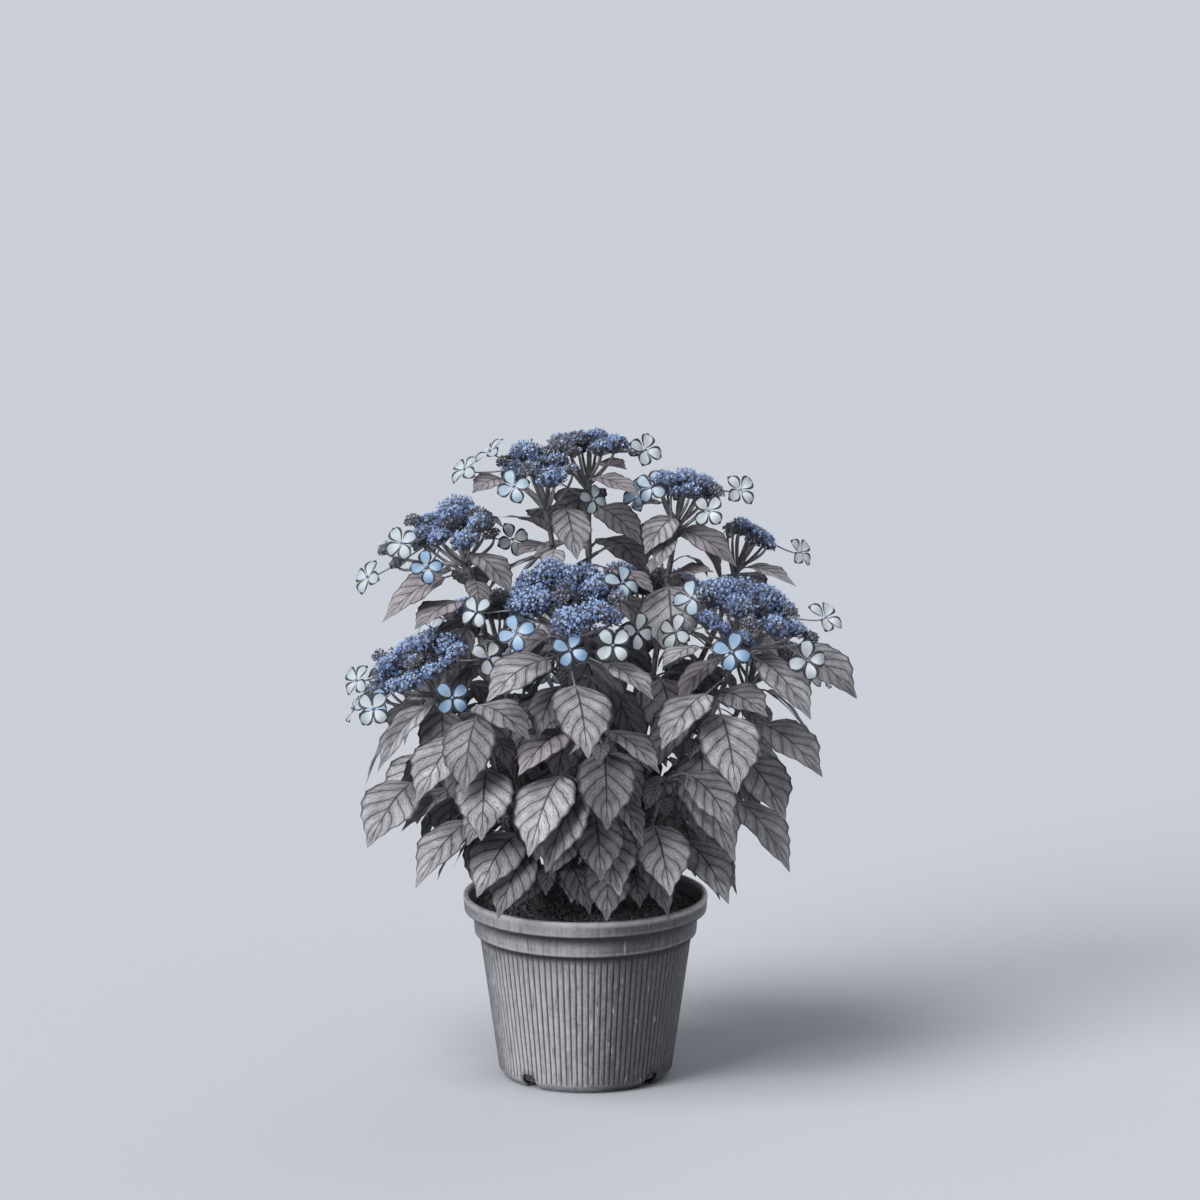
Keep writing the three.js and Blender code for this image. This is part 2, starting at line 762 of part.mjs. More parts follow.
function headSkin(plan) {
  const skin = [];
  for (let i = 0; i <= 24; i++) {
    for (let j = 0; j < 72; j++) skin.push(domeSurface(plan, (Math.PI * i) / 24, j * 5));
  }
  for (const [from, to] of [...raysOf(plan), [plan.foot, plan.centre]]) {
    skin.push(...stalkSkin(from, to, 0, 2));
  }
  for (const f of plan.florets) {
    const { right, rise } = floretAxes(f);
    for (let ring = 0; ring <= 6; ring++) {
      for (let k = 0; k < 36; k++) {
        const spread = (f.radius * ring) / 6;
        const turn = (k * Math.PI) / 18;
        for (const lift of [-1.5, 2.5]) {
          skin.push(
            f.at
              .clone()
              .addScaledVector(right, spread * Math.cos(turn))
              .addScaledVector(rise, spread * Math.sin(turn))
              .addScaledVector(f.face, lift),
          );
        }
      }
    }
    skin.push(...stalkSkin(stalkRoot(plan, f), f.at, 0, 1.4));
  }
  return skin;
}

// ---------------------------------------------------------------- canes, boughs and shoots

// A stem from root to the foot of a head: it leaves along start and comes up along the head's axis.
function stemCurve(root, start, plan) {
  const span = root.distanceTo(plan.foot);
  const leave = root.clone().addScaledVector(start, span * 0.34);
  const arrive = plan.foot.clone().addScaledVector(plan.axis, -0.26 * span).addScaledVector(up, -0.1 * span);
  return new THREE.CubicBezierCurve3(root, leave, arrive, plan.foot);
}

function growWood() {
  const plans = new Map(heads.map((head) => [head.name, headPlan(head)]));
  const limbs = [];
  const shoots = [];
  for (const cane of canes) {
    const leader = plans.get(cane.leader);
    const spread = Math.min(1, Math.hypot(leader.centre.x, leader.centre.y) / 150);
    const foot = leader.outward.clone().multiplyScalar(wood.footSpread * spread);
    foot.setZ(compost.level - wood.buried);
    const lean = up.clone().addScaledVector(leader.outward, 0.25 * spread).normalize();
    const curve = stemCurve(foot, lean, leader);
    const main = {
      name: `cane_${cane.name}`,
      curve,
      start: 0,
      end: wood.caneEnd,
      radii: [wood.footRadius, wood.forkRadius],
      carriers: [],
    };
    const bough = {
      name: `bough_${cane.leader}`,
      curve,
      start: wood.caneEnd,
      end: wood.boughEnd,
      radii: [wood.forkRadius * 0.94, wood.boughRadius],
      carriers: [main],
    };
    limbs.push(main, bough);
    shoots.push({ name: cane.leader, plan: leader, curve, start: wood.boughEnd, carriers: [bough] });
    for (const side of cane.sides) {
      const plan = plans.get(side);
      const root = curve.getPoint(wood.sideFork);
      const way = plan.foot.clone().sub(root).normalize().add(up).normalize();
      const branch = stemCurve(root, way, plan);
      const fork = {
        name: `bough_${side}`,
        curve: branch,
        start: 0,
        end: wood.sideBoughEnd,
        radii: [wood.boughRadius, wood.boughRadius * 0.94],
        carriers: [main, bough],
      };
      limbs.push(fork);
      shoots.push({ name: side, plan, curve: branch, start: wood.sideBoughEnd, carriers: [fork] });
    }
  }
  return { limbs, shoots };
}

// A limb's solid; extra swells it and lengthens it, to cut a clearance with.
function limbSolid(part, extra = 0) {
  const overrun = (extra > 0 ? extra : 0.5) / part.curve.getLength();
  const start = Math.max(0, part.start - (extra > 0 ? 0 : overrun));
  const end = Math.min(1, part.end + (extra > 0 ? overrun : 0));
  const points = pointsAlong(part.curve, start, end, 3);
  if (part.plan) points.push(part.plan.centre);
  return limb(points, part.radii[0] + extra, part.radii[1] + extra, part.plan ? 4 : 6);
}

// Cuts a solid just clear of the limbs that carry it.
function clearOf(carriers, solid) {
  return joined([carriers.reduce((rest, carrier) => rest.subtract(limbSolid(carrier, clearance)), solid)]);
}

// Pairs of leaves down a stem, each pair square to the one above, all turned a little to the light.
function growPairs(shoot, spots, seed) {
  const leaves = [];
  const chance = chanceFrom(seed);
  const firstTurn = chance(0, 180);
  spots.forEach((spot, k) => {
    for (const opposite of [0, 180]) {
      const root = shoot.curve.getPoint(spot.share);
      const outward = THREE.MathUtils.radToDeg(Math.atan2(root.y, root.x));
      const own = firstTurn + 90 * k + opposite + chance(-12, 12);
      const off = THREE.MathUtils.euclideanModulo(own - outward + 180, 360) - 180;
      const leafSeed = seed * 40 + 2 * k + opposite / 180;
      const leaf = growLeaf(root, outward + off * 0.78, spot.length, spot.hang, shoot.name, leafSeed);
      if (leaf) leaves.push(leaf);
    }
  });
  return leaves;
}

// Flowering shoots have smaller, flatter leaves under the head and larger, hanging ones below.
function spotsOf(shoot) {
  const length = shoot.curve.getLength();
  const spots = [];
  for (let below = 16; below < length * (1 - shoot.start) - 24; below += foliage.internode) {
    const grown = Math.min(1, (below + 20 + shoot.plan.head.radius) / 170);
    const share = 1 - below / length;
    const hang = Math.min(1, Math.max(0, (560 - shoot.curve.getPoint(share).z) / 260));
    spots.push({ share, length: mix(foliage.topLeaf, foliage.fullLeaf, grown), hang: mix(0.4, 0.95, hang) });
  }
  return spots;
}

// Leafy side shoots of one tier, each from the limb that stands furthest out on its bearing.
function growTier(tier, limbs) {
  const hosts = limbs.filter((part) => part.name.startsWith(tier.from));
  const leavePoint = (part, more) => part.curve.getPoint(mix(part.start, part.end, tier.leaveAt + more));
  const shoots = [];
  for (let k = 0; k < tier.count; k++) {
    const chance = chanceFrom(3000 + tier.reach + k);
    const degrees = tier.turn + (k * 360) / tier.count;
    const way = bearing(degrees);
    const outwardness = (part) => leavePoint(part, 0).dot(way);
    const host = hosts.reduce((best, part) => (outwardness(part) > outwardness(best) ? part : best));
    for (let tried = 0; tried < 5 * foliage.tries; tried++) {
      const spread = 1 + 0.08 * tried;
      const heading = bearing(degrees + chance(-3, 3) * spread);
      const root = leavePoint(host, chance(0, 0.06) * Math.min(spread, 3));
      const tip = heading.multiplyScalar(tier.reach * chance(0.94, 1.06));
      tip.setZ(tier.height + chance(-5, 5) * spread);
      const leave = root.clone().lerp(tip, 0.35).addScaledVector(up, 12);
      const arrive = root.clone().lerp(tip, 0.7).addScaledVector(up, 6);
      const curve = new THREE.CubicBezierCurve3(root, leave, arrive, tip);
      const name = `${tier.name}_${k + 1}`;
      const skin = skinOf(pointsAlong(curve, 0.06, 1, 60), 3);
      if (!isFree(skin, host.name)) continue;
      claim(skin, name);
      shoots.push({ name, curve, start: 0, host, tier });
      break;
    }
  }
  return shoots;
}

function tierSpots(tier) {
  return Array.from({ length: tier.pairs }, (_, k) => ({
    share: 1 - k * 0.25,
    length: tier.leafLength * (1 - 0.04 * k),
    hang: mix(0.8, 1, k / tier.pairs),
  }));
}

// ---------------------------------------------------------------- assembly

const materials = {
  pot: new THREE.MeshStandardMaterial({ color: "#5b5a5e", roughness: 0.55, metalness: 0 }),
  compost: new THREE.MeshStandardMaterial({ color: "#2e2823", roughness: 0.95, metalness: 0 }),
  cane: new THREE.MeshStandardMaterial({ color: "#5d5448", roughness: 0.85, metalness: 0 }),
  flowering: new THREE.MeshStandardMaterial({ color: "#6f86a8", roughness: 0.7, metalness: 0 }),
  leafy: new THREE.MeshStandardMaterial({ color: "#5f6a58", roughness: 0.6, metalness: 0 }),
};

const plant = new THREE.Group();
plant.name = "potted_lacecap_hydrangea";
plant.add(meshOf(potSolid(), "pot", materials.pot));
plant.add(meshOf(compostSolid(), "compost", materials.compost));

const { limbs, shoots } = growWood();
for (const part of limbs) {
  claim(skinOf(pointsAlong(part.curve, part.start, part.end, 80), part.radii[0]), part.name);
}
for (const shoot of shoots) {
  claim(skinOf(pointsAlong(shoot.curve, shoot.start, 1, 120), wood.shootRadius), shoot.name);
}
for (const shoot of shoots) claim(headSkin(shoot.plan), shoot.name);
const sideShoots = tiers.map((tier) => growTier(tier, limbs)).flat();
const everyShoot = [...shoots, ...sideShoots];

const leavesOf = new Map(everyShoot.map((shoot) => [shoot.name, []]));
for (const { leaf, owner } of growFaceLeaves(everyShoot)) leavesOf.get(owner).push(leaf);
everyShoot.forEach((shoot, k) => {
  const spots = shoot.tier ? tierSpots(shoot.tier) : spotsOf(shoot);
  leavesOf.get(shoot.name).push(...growPairs(shoot, spots, 100 + k));
});

for (const part of limbs) {
  const solid = limbSolid(part).trimByPlane([0, 0, 1], compost.level + clearance);
  plant.add(meshOf(clearOf(part.carriers, solid), part.name, materials.cane));
}

for (const shoot of shoots) {
  const stem = limbSolid({ ...shoot, end: 1, radii: [wood.shootRadius, wood.peduncleRadius] });
  const solid = joined([stem, ...headSolids(shoot.plan), ...leavesOf.get(shoot.name).map(leafSolid)]);
  plant.add(meshOf(clearOf(shoot.carriers, solid), `flowering_shoot_${shoot.name}`, materials.flowering));
}

for (const shoot of sideShoots) {
  const stem = limb(pointsAlong(shoot.curve, 0, 1, 3), 3.2, 2, 3);
  const solid = joined([stem, ...leavesOf.get(shoot.name).map(leafSolid)]);
  plant.add(meshOf(clearOf([shoot.host], solid), `leafy_shoot_${shoot.name}`, materials.leafy));
}

export default plant;
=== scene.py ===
import math
from functools import partial

import bpy
import numpy as np
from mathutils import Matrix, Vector


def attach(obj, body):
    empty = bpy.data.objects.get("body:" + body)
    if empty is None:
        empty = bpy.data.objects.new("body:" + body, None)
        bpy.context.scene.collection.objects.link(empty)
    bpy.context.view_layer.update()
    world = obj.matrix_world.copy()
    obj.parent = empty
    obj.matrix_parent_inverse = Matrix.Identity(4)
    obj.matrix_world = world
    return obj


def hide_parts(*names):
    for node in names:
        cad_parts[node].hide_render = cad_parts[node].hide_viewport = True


# A lacecap hydrangea in a ribbed plastic pot. Growth is worked out in millimetres by one seeded rule,
# then every kind of piece (leaves, stalks, bark, sepals, florets, pot, compost) becomes one mesh.
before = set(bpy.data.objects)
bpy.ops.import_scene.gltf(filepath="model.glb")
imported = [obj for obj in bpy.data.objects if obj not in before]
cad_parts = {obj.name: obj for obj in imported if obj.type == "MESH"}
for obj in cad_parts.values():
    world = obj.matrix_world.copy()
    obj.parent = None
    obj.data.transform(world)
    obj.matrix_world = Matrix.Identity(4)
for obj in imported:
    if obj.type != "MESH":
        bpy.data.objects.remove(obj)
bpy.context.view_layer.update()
print("frame loaded:", len(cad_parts), "solids")

potSize = {
    "height": 198, "rimRadius": 130, "rimDepth": 18, "collarRadius": 119.5, "collarDepth": 24,
    "bodyTopRadius": 113, "bodyFootRadius": 92, "footRadius": 84, "footBevel": 8, "wall": 2.6, "lip": 5.5,
    "notchTurn": 49, "notchWidth": 19, "notchHeight": 16,
}
compostSize = {"level": 190, "edgeDrop": 6, "plateauRadius": 64}

# Seen florets: offset across and up the front view, and how far they turn outward. Florets behind: their
# bearing round the head. Tints, one letter to a floret in that order: b sky blue, p pale blue, w greyish
# white, l near white, a lighter copy given to florets in shade as painted light. Lumps of fertile flowers:
# offset across and up, radius, and b blue, l light (also given to lumps in shade, as painted light) or g
# still in grey bud;
# heads that don't show get theirs by chance.
heads = [
    dict(name="top", at=(4, 50, 673), radius=44, lean=6, tints="lpw",
         seen=[(59, -3, 0.1)],
         behind=[40, 110],
         lumps=[(-28, 1, 16, "g"), (-12, 8, 14, "g"), (8, 10, 15, "b"), (26, 2, 16, "b"), (11, -3, 14, "b"),
                (-18, -5, 11, "g")]),
    dict(name="upper_left", at=(-52, 4, 660), radius=40, lean=14, tints="pwwww",
         seen=[(-24, -18, 0), (-76, 0, 0.6), (-49, 19, 0.8), (60, -32, 0)],
         behind=[118],
         lumps=[(-12, 15, 22, "l"), (16, -10, 19, "l"), (-33, 8, 10, "g"), (37, -1, 10, "g"),
                (10, 18, 10, "g"), (-7, -1, 13, "g")]),
    dict(name="upper_right", at=(106, 40, 632), radius=41, lean=14, tints="llpbw",
         seen=[(58, -3, 0.2), (24, -25, 0), (-36, 0, 0.1), (-50, -8, 0.4)],
         behind=[85],
         lumps=[(1, 7, 18, "l"), (-23, 5, 15, "b"), (18, 2, 16, "b"), (32, -5, 11, "g"), (5, -6, 14, "b"),
                (-14, -5, 11, "b")]),
    dict(name="far_right", at=(176, 85, 570), radius=30, lean=24, tints="lp",
         seen=[(52, -20, 0.6)],
         behind=[110],
         lumps=[(-10, 7, 14, "b"), (6, -2, 14, "l"), (17, -12, 11, "l"), (-23, 5, 8, "g"), (1, -8, 10, "g")]),
    dict(name="left", at=(-141, 20, 590), radius=50, lean=22, tints="wbwlwp",
         seen=[(-54, -14, 0.1), (-27, -39, 0), (-90, -50, 0.5), (63, -10, 0)],
         behind=[60, 120],
         lumps=[(3, 18, 26, "l"), (30, 5, 17, "b"), (-26, 7, 16, "b"), (-13, -9, 15, "l"), (13, -13, 18, "l"),
                (-43, 10, 10, "g"), (-70, -21, 11, "g"), (-59, -36, 10, "g"), (42, -5, 10, "g")]),
    dict(name="front", at=(-20, -122, 546), radius=63, lean=28, tints="bbllpw",
         seen=[(-53, -32, 0), (4, -50, 0), (49, -45, 0), (75, -31, 0.2), (59, 21, 0.2), (-95, -10, 0.3)],
         behind=[],
         lumps=[(-18, 29, 22, "b"), (4, 27, 16, "b"), (-42, 21, 14, "b"), (-34, -1, 22, "b"),
                (-53, -5, 13, "b"), (27, 13, 15, "b"), (4, -20, 22, "l"), (30, -11, 19, "l"),
                (48, -16, 13, "b"), (-7, 3, 13, "g"), (54, 5, 11, "g")]),
    dict(name="right", at=(176, -68, 518), radius=64, lean=24, tints="pblll",
         seen=[(-63, 19, 0), (-21, -38, 0), (78, -2, 0.6), (59, -47, 0.1), (-81, -17, 0)],
         behind=[],
         lumps=[(-25, 31, 14, "l"), (14, 20, 19, "b"), (34, 10, 13, "b"), (-14, 7, 21, "b"),
                (-46, -6, 16, "b"), (-31, -14, 11, "b"), (23, -13, 18, "b"), (46, -15, 14, "b"),
                (-10, -26, 14, "b"), (62, -23, 10, "g"), (41, 4, 10, "g"), (-1, -9, 13, "g")]),
    dict(name="lower_left", at=(-176, -52, 464), radius=56, lean=26, tints="wwblw",
         seen=[(-49, -50, 0.1), (-66, -20, 0.6), (35, -38, 0), (73, 4, 0)],
         behind=[130],
         lumps=[(8, 20, 15, "l"), (-14, 12, 13, "l"), (-34, -4, 14, "l"), (-8, -22, 16, "l"),
                (13, -11, 13, "l"), (40, 10, 13, "l"), (30, -3, 12, "b"), (-26, -26, 11, "l"),
                (-5, -1, 12, "g"), (-43, 6, 9, "g")]),
    dict(name="back_left", at=(-104, 138, 476), radius=52, lean=24, tints="pbwpw",
         seen=[],
         behind=[10, 62, 108, 150, 200],
         lumps=[]),
    dict(name="back_right", at=(72, 176, 492), radius=54, lean=26, tints="wpbwp",
         seen=[],
         behind=[-20, 30, 76, 122, 175],
         lumps=[]),
    dict(name="low_back_left", at=(-196, 88, 412), radius=46, lean=30, tints="pwwb",
         seen=[],
         behind=[70, 120, 175, 230],
         lumps=[]),
    dict(name="low_back_right", at=(190, 108, 440), radius=52, lean=26, tints="wbpw",
         seen=[],
         behind=[-40, 6, 50, 98],
         lumps=[]),
    dict(name="low_back", at=(-18, 222, 412), radius=54, lean=30, tints="bwpwp",
         seen=[],
         behind=[10, 60, 104, 150, 190],
         lumps=[]),
]

canes = [
    dict(name="middle", leader="top", sides=["upper_left"]),
    dict(name="right_back", leader="upper_right", sides=["far_right"]),
    dict(name="left", leader="left", sides=["back_left"]),
    dict(name="left_front", leader="lower_left", sides=["low_back_left"]),
    dict(name="front", leader="front", sides=[]),
    dict(name="right_front", leader="right", sides=["low_back_right"]),
    dict(name="back", leader="back_right", sides=["low_back"]),
]

wood = {
    "footSpread": 46, "buried": 8, "footRadius": 7.4, "forkRadius": 5.4, "boughRadius": 4.2,
    "shootRadius": 3.6, "caneEnd": 0.27, "boughEnd": 0.42, "sideFork": 0.19, "sideBoughEnd": 0.2,
}

tiers = [
    dict(name="skirt", start="cane_", count=8, turn=20, leaveAt=0.24, reach=100, height=265, pairs=2,
         leafLength=92),
    dict(name="flank", start="cane_", count=8, turn=2, leaveAt=0.42, reach=142, height=338, pairs=3,
         leafLength=98),
    dict(name="shoulder", start="bough_", count=6, turn=38, leaveAt=0.6, reach=150, height=412, pairs=3,
         leafLength=96),
]

# leaves of the face: base across and up, tip across and up, base behind the axis, true length
frontTilt = 14
faceLeaves = [
    (-149, 527, -216, 479, 0, 84), (-133, 501, -181, 471, 15, 76), (-119, 553, -78, 508, -4, 70),
    (-41, 577, -93, 591, 0, 64), (-35, 561, -73, 549, 26, 62), (-22, 601, -9, 545, 2, 66),
    (12, 602, 60, 561, 28, 70), (8, 632, 58, 612, 38, 62), (93, 591, 63, 551, 24, 58),
    (100, 577, 161, 538, 28, 76), (-6, 535, 42, 563, 50, 64), (29, 535, 74, 508, 12, 66),
    (86, 527, 137, 532, 30, 62), (171, 538, 224, 517, 76, 62), (-88, 632, -120, 616, 12, 48),
    (12, 648, 44, 641, 62, 46), (82, 606, 47, 602, 52, 46), (-162, 394, -221, 320, -62, 98),
    (-131, 358, -179, 288, -98, 98), (-184, 309, -231, 240, -40, 96), (-120, 270, -180, 198, -82, 104),
    (-105, 323, -110, 248, -126, 90), (-73, 256, -115, 188, -92, 92), (-27, 317, -60, 231, -142, 104),
    (-11, 413, 3, 335, -156, 94), (-40, 441, -105, 395, -132, 90), (-115, 392, -58, 355, -112, 86),
    (-22, 365, -71, 317, -118, 82), (12, 266, 36, 189, -116, 92), (72, 264, 90, 189, -104, 90),
    (23, 365, 79, 319, -138, 84), (13, 338, 59, 283, -112, 84), (26, 305, 32, 269, -84, 56),
    (-16, 256, -38, 209, -84, 62), (-8, 230, -15, 181, -66, 58), (50, 220, 58, 176, -60, 54),
    (-45, 209, -75, 177, -56, 52), (127, 404, 80, 344, -124, 90), (143, 383, 160, 298, -128, 100),
    (141, 405, 193, 379, -64, 78), (185, 372, 251, 315, -54, 98), (185, 439, 238, 376, -92, 94),
    (222, 450, 288, 398, -34, 92), (103, 312, 159, 225, -122, 108), (159, 291, 217, 214, -62, 104),
    (167, 336, 212, 269, -30, 90), (103, 251, 152, 181, -70, 96), (19, 436, 72, 397, -134, 84),
    (118, 453, 81, 432, -104, 60), (90, 315, 63, 280, -96, 58), (-133, 305, -195, 257, -50, 88),
]

foliage = {
    "internode": 50, "topLeaf": 72, "fullLeaf": 100, "widthShare": 0.7, "petiole": 24, "crease": 0.08,
    "faceDroop": 20, "rimHeight": 203, "reach": 292, "tries": 18, "startPitch": (-4, -46),
    "endPitch": (-52, -84), "firstPair": 16, "bareFoot": 24, "hangFrom": 560, "hangOver": 260,
}

blossom = {
    "rayLength": 40, "rays": [(200, 14), (330, 6)], "domeRise": 0.5, "domeSink": 0.3, "swells": 6,
    "seenOut": 1.15, "forward": 0.85, "backward": 0.3, "highRise": 12, "behindOut": 1.32,
    "floretRadius": 14, "floretGrowth": 0.14, "stalkOut": 0.6,
}

up = np.array([0.0, 0.0, 1.0])


# between two values: the low one and a share of their difference
def mix(low, high, share):
    return low + (high - low) * share


# vectors divided by their length
def unit(v):
    return v / np.linalg.norm(v, axis=-1, keepdims=True)


# a level direction by its bearing: cosine to the right, sine to the back
def bearing(degrees):
    return np.array([math.cos(math.radians(degrees)), math.sin(math.radians(degrees)), 0.0])


prime = 2 ** 31 - 1


# Lehmer generator: each state is the last times 16807, modulo a prime
def chanceFrom(seed):
    state = (seed * 7919 + 104729) % prime

    def draw(low, high):
        nonlocal state
        state = state * 16807 % prime
        return mix(low, high, state / prime)

    draw(0, 1)
    draw(0, 1)
    return draw


# cubic Bezier curve: the four points weighted by the Bernstein polynomials of t
def bezier(a, b, c, d):
    def at(t):
        t = np.asarray(t, float)[..., None]
        k = 1 - t
        return k ** 3 * a + 3 * k * k * t * b + 3 * k * t * t * c + t ** 3 * d

    return at


# points of a curve at even steps of its parameter
def pointsAlong(curve, start, end, steps):
    return curve(mix(start, end, np.arange(steps + 1) / steps))


# a curve's length: the sum of 200 short chords
def lengthOf(curve):
    return np.linalg.norm(np.diff(pointsAlong(curve, 0, 1, 200), axis=0), axis=1).sum()


# all pairs of two rows of numbers, the second running fastest
def pairsOf(first, second):
    return [a.ravel() for a in np.meshgrid(first, second, indexing="ij")]


# space that growth has taken: a grid of small cells, each with the number of its owner
space = {"cell": 3.6, "count": (220, 220, 210), "middle": (110, 110, 0)}
taken = np.zeros(space["count"], np.int16)
owners = {}


# the cells that points lie in: place over cell size, rounded down, from the grid's corner
def cellsOf(points):
    return tuple((np.floor(points / space["cell"]).astype(int) + space["middle"]).T)


# each owner's number, in order of first use
def ownerNumber(name):
    return owners.setdefault(name, len(owners) + 1)


# gives an owner the free cells that points lie in
def claim(points, name):
    cells = cellsOf(points)
    taken[cells] = np.where(taken[cells] == 0, ownerNumber(name), taken[cells])


# whether points lie only in free cells or the owner's own
def isFree(points, name):
    found = taken[cellsOf(points)]
    return bool(np.all((found == 0) | (found == ownerNumber(name))))


# points of a stem: its middle and four level offsets by its radius
def skinOf(points, radius):
    around = np.array([(0, 0, 0), (1, 0, 0), (-1, 0, 0), (0, 1, 0), (0, -1, 0)]) * radius
    return (points[:, None, :] + around).reshape(-1, 3)


# the same for a straight stalk beyond a skipped stretch, about every 3 mm
def stalkSkin(root, end, skipped, radius):
    span = np.linalg.norm(end - root)
    if span <= skipped:
        return np.zeros((0, 3))
    count = max(1, math.ceil((span - skipped) / 3))
    share = (skipped + (span - skipped) * np.arange(count + 1) / count) / span
    return skinOf(root + (end - root) * share[:, None], radius)


# half-width of a blade along its length: along to a power times what is left to a power
def leafOutline(along):
    return np.power(along, 0.62) * np.power(np.maximum(1 - along, 0), 1.08) / 0.3283


# forward by the pitch at a place along, sideways by the roll, and their cross product
def leafAxes(leaf, along):
    pitch = np.atleast_1d(mix(leaf["startPitch"], leaf["endPitch"], along))[:, None]
    forward = leaf["heading"] * np.cos(pitch) + up * np.sin(pitch)
    left = np.cross(up, leaf["heading"])
    side = left * math.cos(leaf["roll"]) + np.cross(forward, left) * math.sin(leaf["roll"])
    return forward, side, np.cross(forward, side)


# midrib: an arc whose pitch falls evenly; across: sideways in shares of the half-width; lift: off the face
def leafPoint(leaf, along, across, lift):
    start, bend = leaf["startPitch"], leaf["endPitch"] - leaf["startPitch"]
    pitch = start + bend * along
    out = leaf["length"] * (np.sin(pitch) - math.sin(start)) / bend
    rise = leaf["length"] * (math.cos(start) - np.cos(pitch)) / bend
    forward, side, normal = leafAxes(leaf, along)
    half = leaf["width"] / 2 * leafOutline(along)
    at = leaf["base"] + leaf["heading"] * out[:, None] + up * rise[:, None] + side * (across * half)[:, None]
    return at + normal * (foliage["crease"] * half * np.abs(across) + lift)[:, None]


# where a blade's skin is felt: nineteen places across it, 1.6 mm off each face
skinAcross, skinLift = pairsOf(np.arange(-9, 10) / 9, [-1.6, 1.6])


# points all over a leaf's two faces and along its stalk
def leafSkin(leaf):
    rows = [leafPoint(leaf, np.full(len(skinLift), share), skinAcross, skinLift)
            for share in (0.0, 0.3, 0.7, 1.0)]
    steps = (np.arange(1, 12) / 11)[:, None, None]
    skin = [(a + (b - a) * steps).reshape(-1, 3) for a, b in zip(rows, rows[1:])]
    return np.concatenate(skin + [stalkSkin(leaf["root"], leaf["base"], 7, 1.5)])


# inside the crown's radius, and above the rim or, further in, above the compost
def isInReach(points):
    radius = np.hypot(points[:, 0], points[:, 1])
    floor = np.where(radius > potSize["rimRadius"] - 20, foliage["rimHeight"], compostSize["level"] + 5)
    return bool(np.all((radius < foliage["reach"]) & (points[:, 2] > floor)))


# takes a leaf's place for it, unless it would leave the crown's reach or meet another piece
def findsRoom(leaf, owner):
    skin = leafSkin(leaf)
    hasRoom = isInReach(skin) and isFree(skin, owner)
    if hasRoom:
        claim(skin, "leaf")
    return hasRoom


# a leaf on its stalk: hang is a share between nearly level and nearly upright
def leafAt(middle, degrees, length, hang, chance):
    heading = bearing(degrees)
    petiole = foliage["petiole"] * mix(0.8, 1.1, length / foliage["fullLeaf"])
    root = middle + heading * 0.8
    base = root + heading * petiole * 0.92 + up * petiole * mix(0.4, 0.1, hang)
    startPitch = math.radians(mix(*foliage["startPitch"], hang) + chance(-8, 8))
    endPitch = math.radians(mix(*foliage["endPitch"], hang) + chance(-8, 5))
    return dict(root=root, base=base, heading=heading, length=length, width=length * foliage["widthShare"],
                startPitch=startPitch, endPitch=endPitch, roll=math.radians(chance(-16, 16)))


# tries a leaf in its place, then turned, hung or shrunk a little further each time, until it has room
def growLeaf(root, degrees, length, hang, owner, seed):
    chance = chanceFrom(seed)
    for k in range(foliage["tries"]):
        turn = chance(-1, 1) * 6 * k
        hung = min(1, max(0, hang + chance(-0.05, 0.05) * k))
        leaf = leafAt(root, degrees + turn, length * (1 - 0.018 * k) * chance(0.92, 1.06), hung, chance)
        if findsRoom(leaf, owner):
            return leaf
    return None


# a place by its offset across and up the front view and how far behind: the tilt undone
def fromFront(across, rise, behind):
    tilt = math.radians(frontTilt)
    return np.array([across, behind, (rise - behind * math.sin(tilt)) / math.cos(tilt)], float)


# the tip comes as far forward as the leaf's true length asks for
def faceLeafAt(row, nudge, roll):
    across, rise, tipAcross, tipRise, behind, length = row
    tilt, droop = math.radians(frontTilt), math.radians(foliage["faceDroop"])
    chord = length * math.sin(droop) / droop
    sideways, climb = tipAcross - across, tipRise - rise
    deep = math.sqrt(max(0, chord * chord - sideways * sideways - climb ** 2))
    step = np.array([sideways, climb * math.sin(tilt) - deep * math.cos(tilt),
                     climb * math.cos(tilt) + deep * math.sin(tilt)])
    level = math.hypot(step[0], step[1])
    pitch = math.atan2(step[2], level)
    arc = float(np.linalg.norm(step)) * droop / math.sin(droop)
    return dict(base=fromFront(across, rise, behind + nudge), heading=step * (1, 1, 0) / level,
                length=arc, width=arc * foliage["widthShare"], startPitch=pitch + droop,
                endPitch=pitch - droop, roll=roll)


# the face's leaves: each from its nearest stem, nudged in depth until it has room
def growFaceLeaves(shoots):
    stems = np.concatenate([pointsAlong(s["curve"], s["start"] + 0.04, 0.97, 30) for s in shoots])
    names = [s["name"] for s in shoots for step in range(31)]
    grown = []
    for index, row in enumerate(faceLeaves):
        chance = chanceFrom(500 + index)
        roll = math.radians(chance(-12, 12))
        for k in range(3 * foliage["tries"]):
            leaf = faceLeafAt(row, chance(-1, 1) * 1.6 * k, roll)
            far = np.linalg.norm(stems - leaf["base"], axis=1) + np.maximum(0, stems[:, 2] - leaf["base"][2])
            near = int(np.argmin(far))
            leaf["root"] = stems[near]
            if findsRoom(leaf, names[near]):
                leaf["face"] = True
                grown.append(leaf)
                break
    return grown


# a place on a head by its bearing and its distances out and up, in shares of the head's radius
def domePoint(plan, degrees, outShare, upShare):
    angle = np.radians(degrees)[..., None]
    out, lift = (np.asarray(plan["head"]["radius"] * share)[..., None] for share in (outShare, upShare))
    turn = plan["right"] * np.cos(angle) + plan["away"] * np.sin(angle)
    return plan["centre"] + turn * out + plan["axis"] * lift


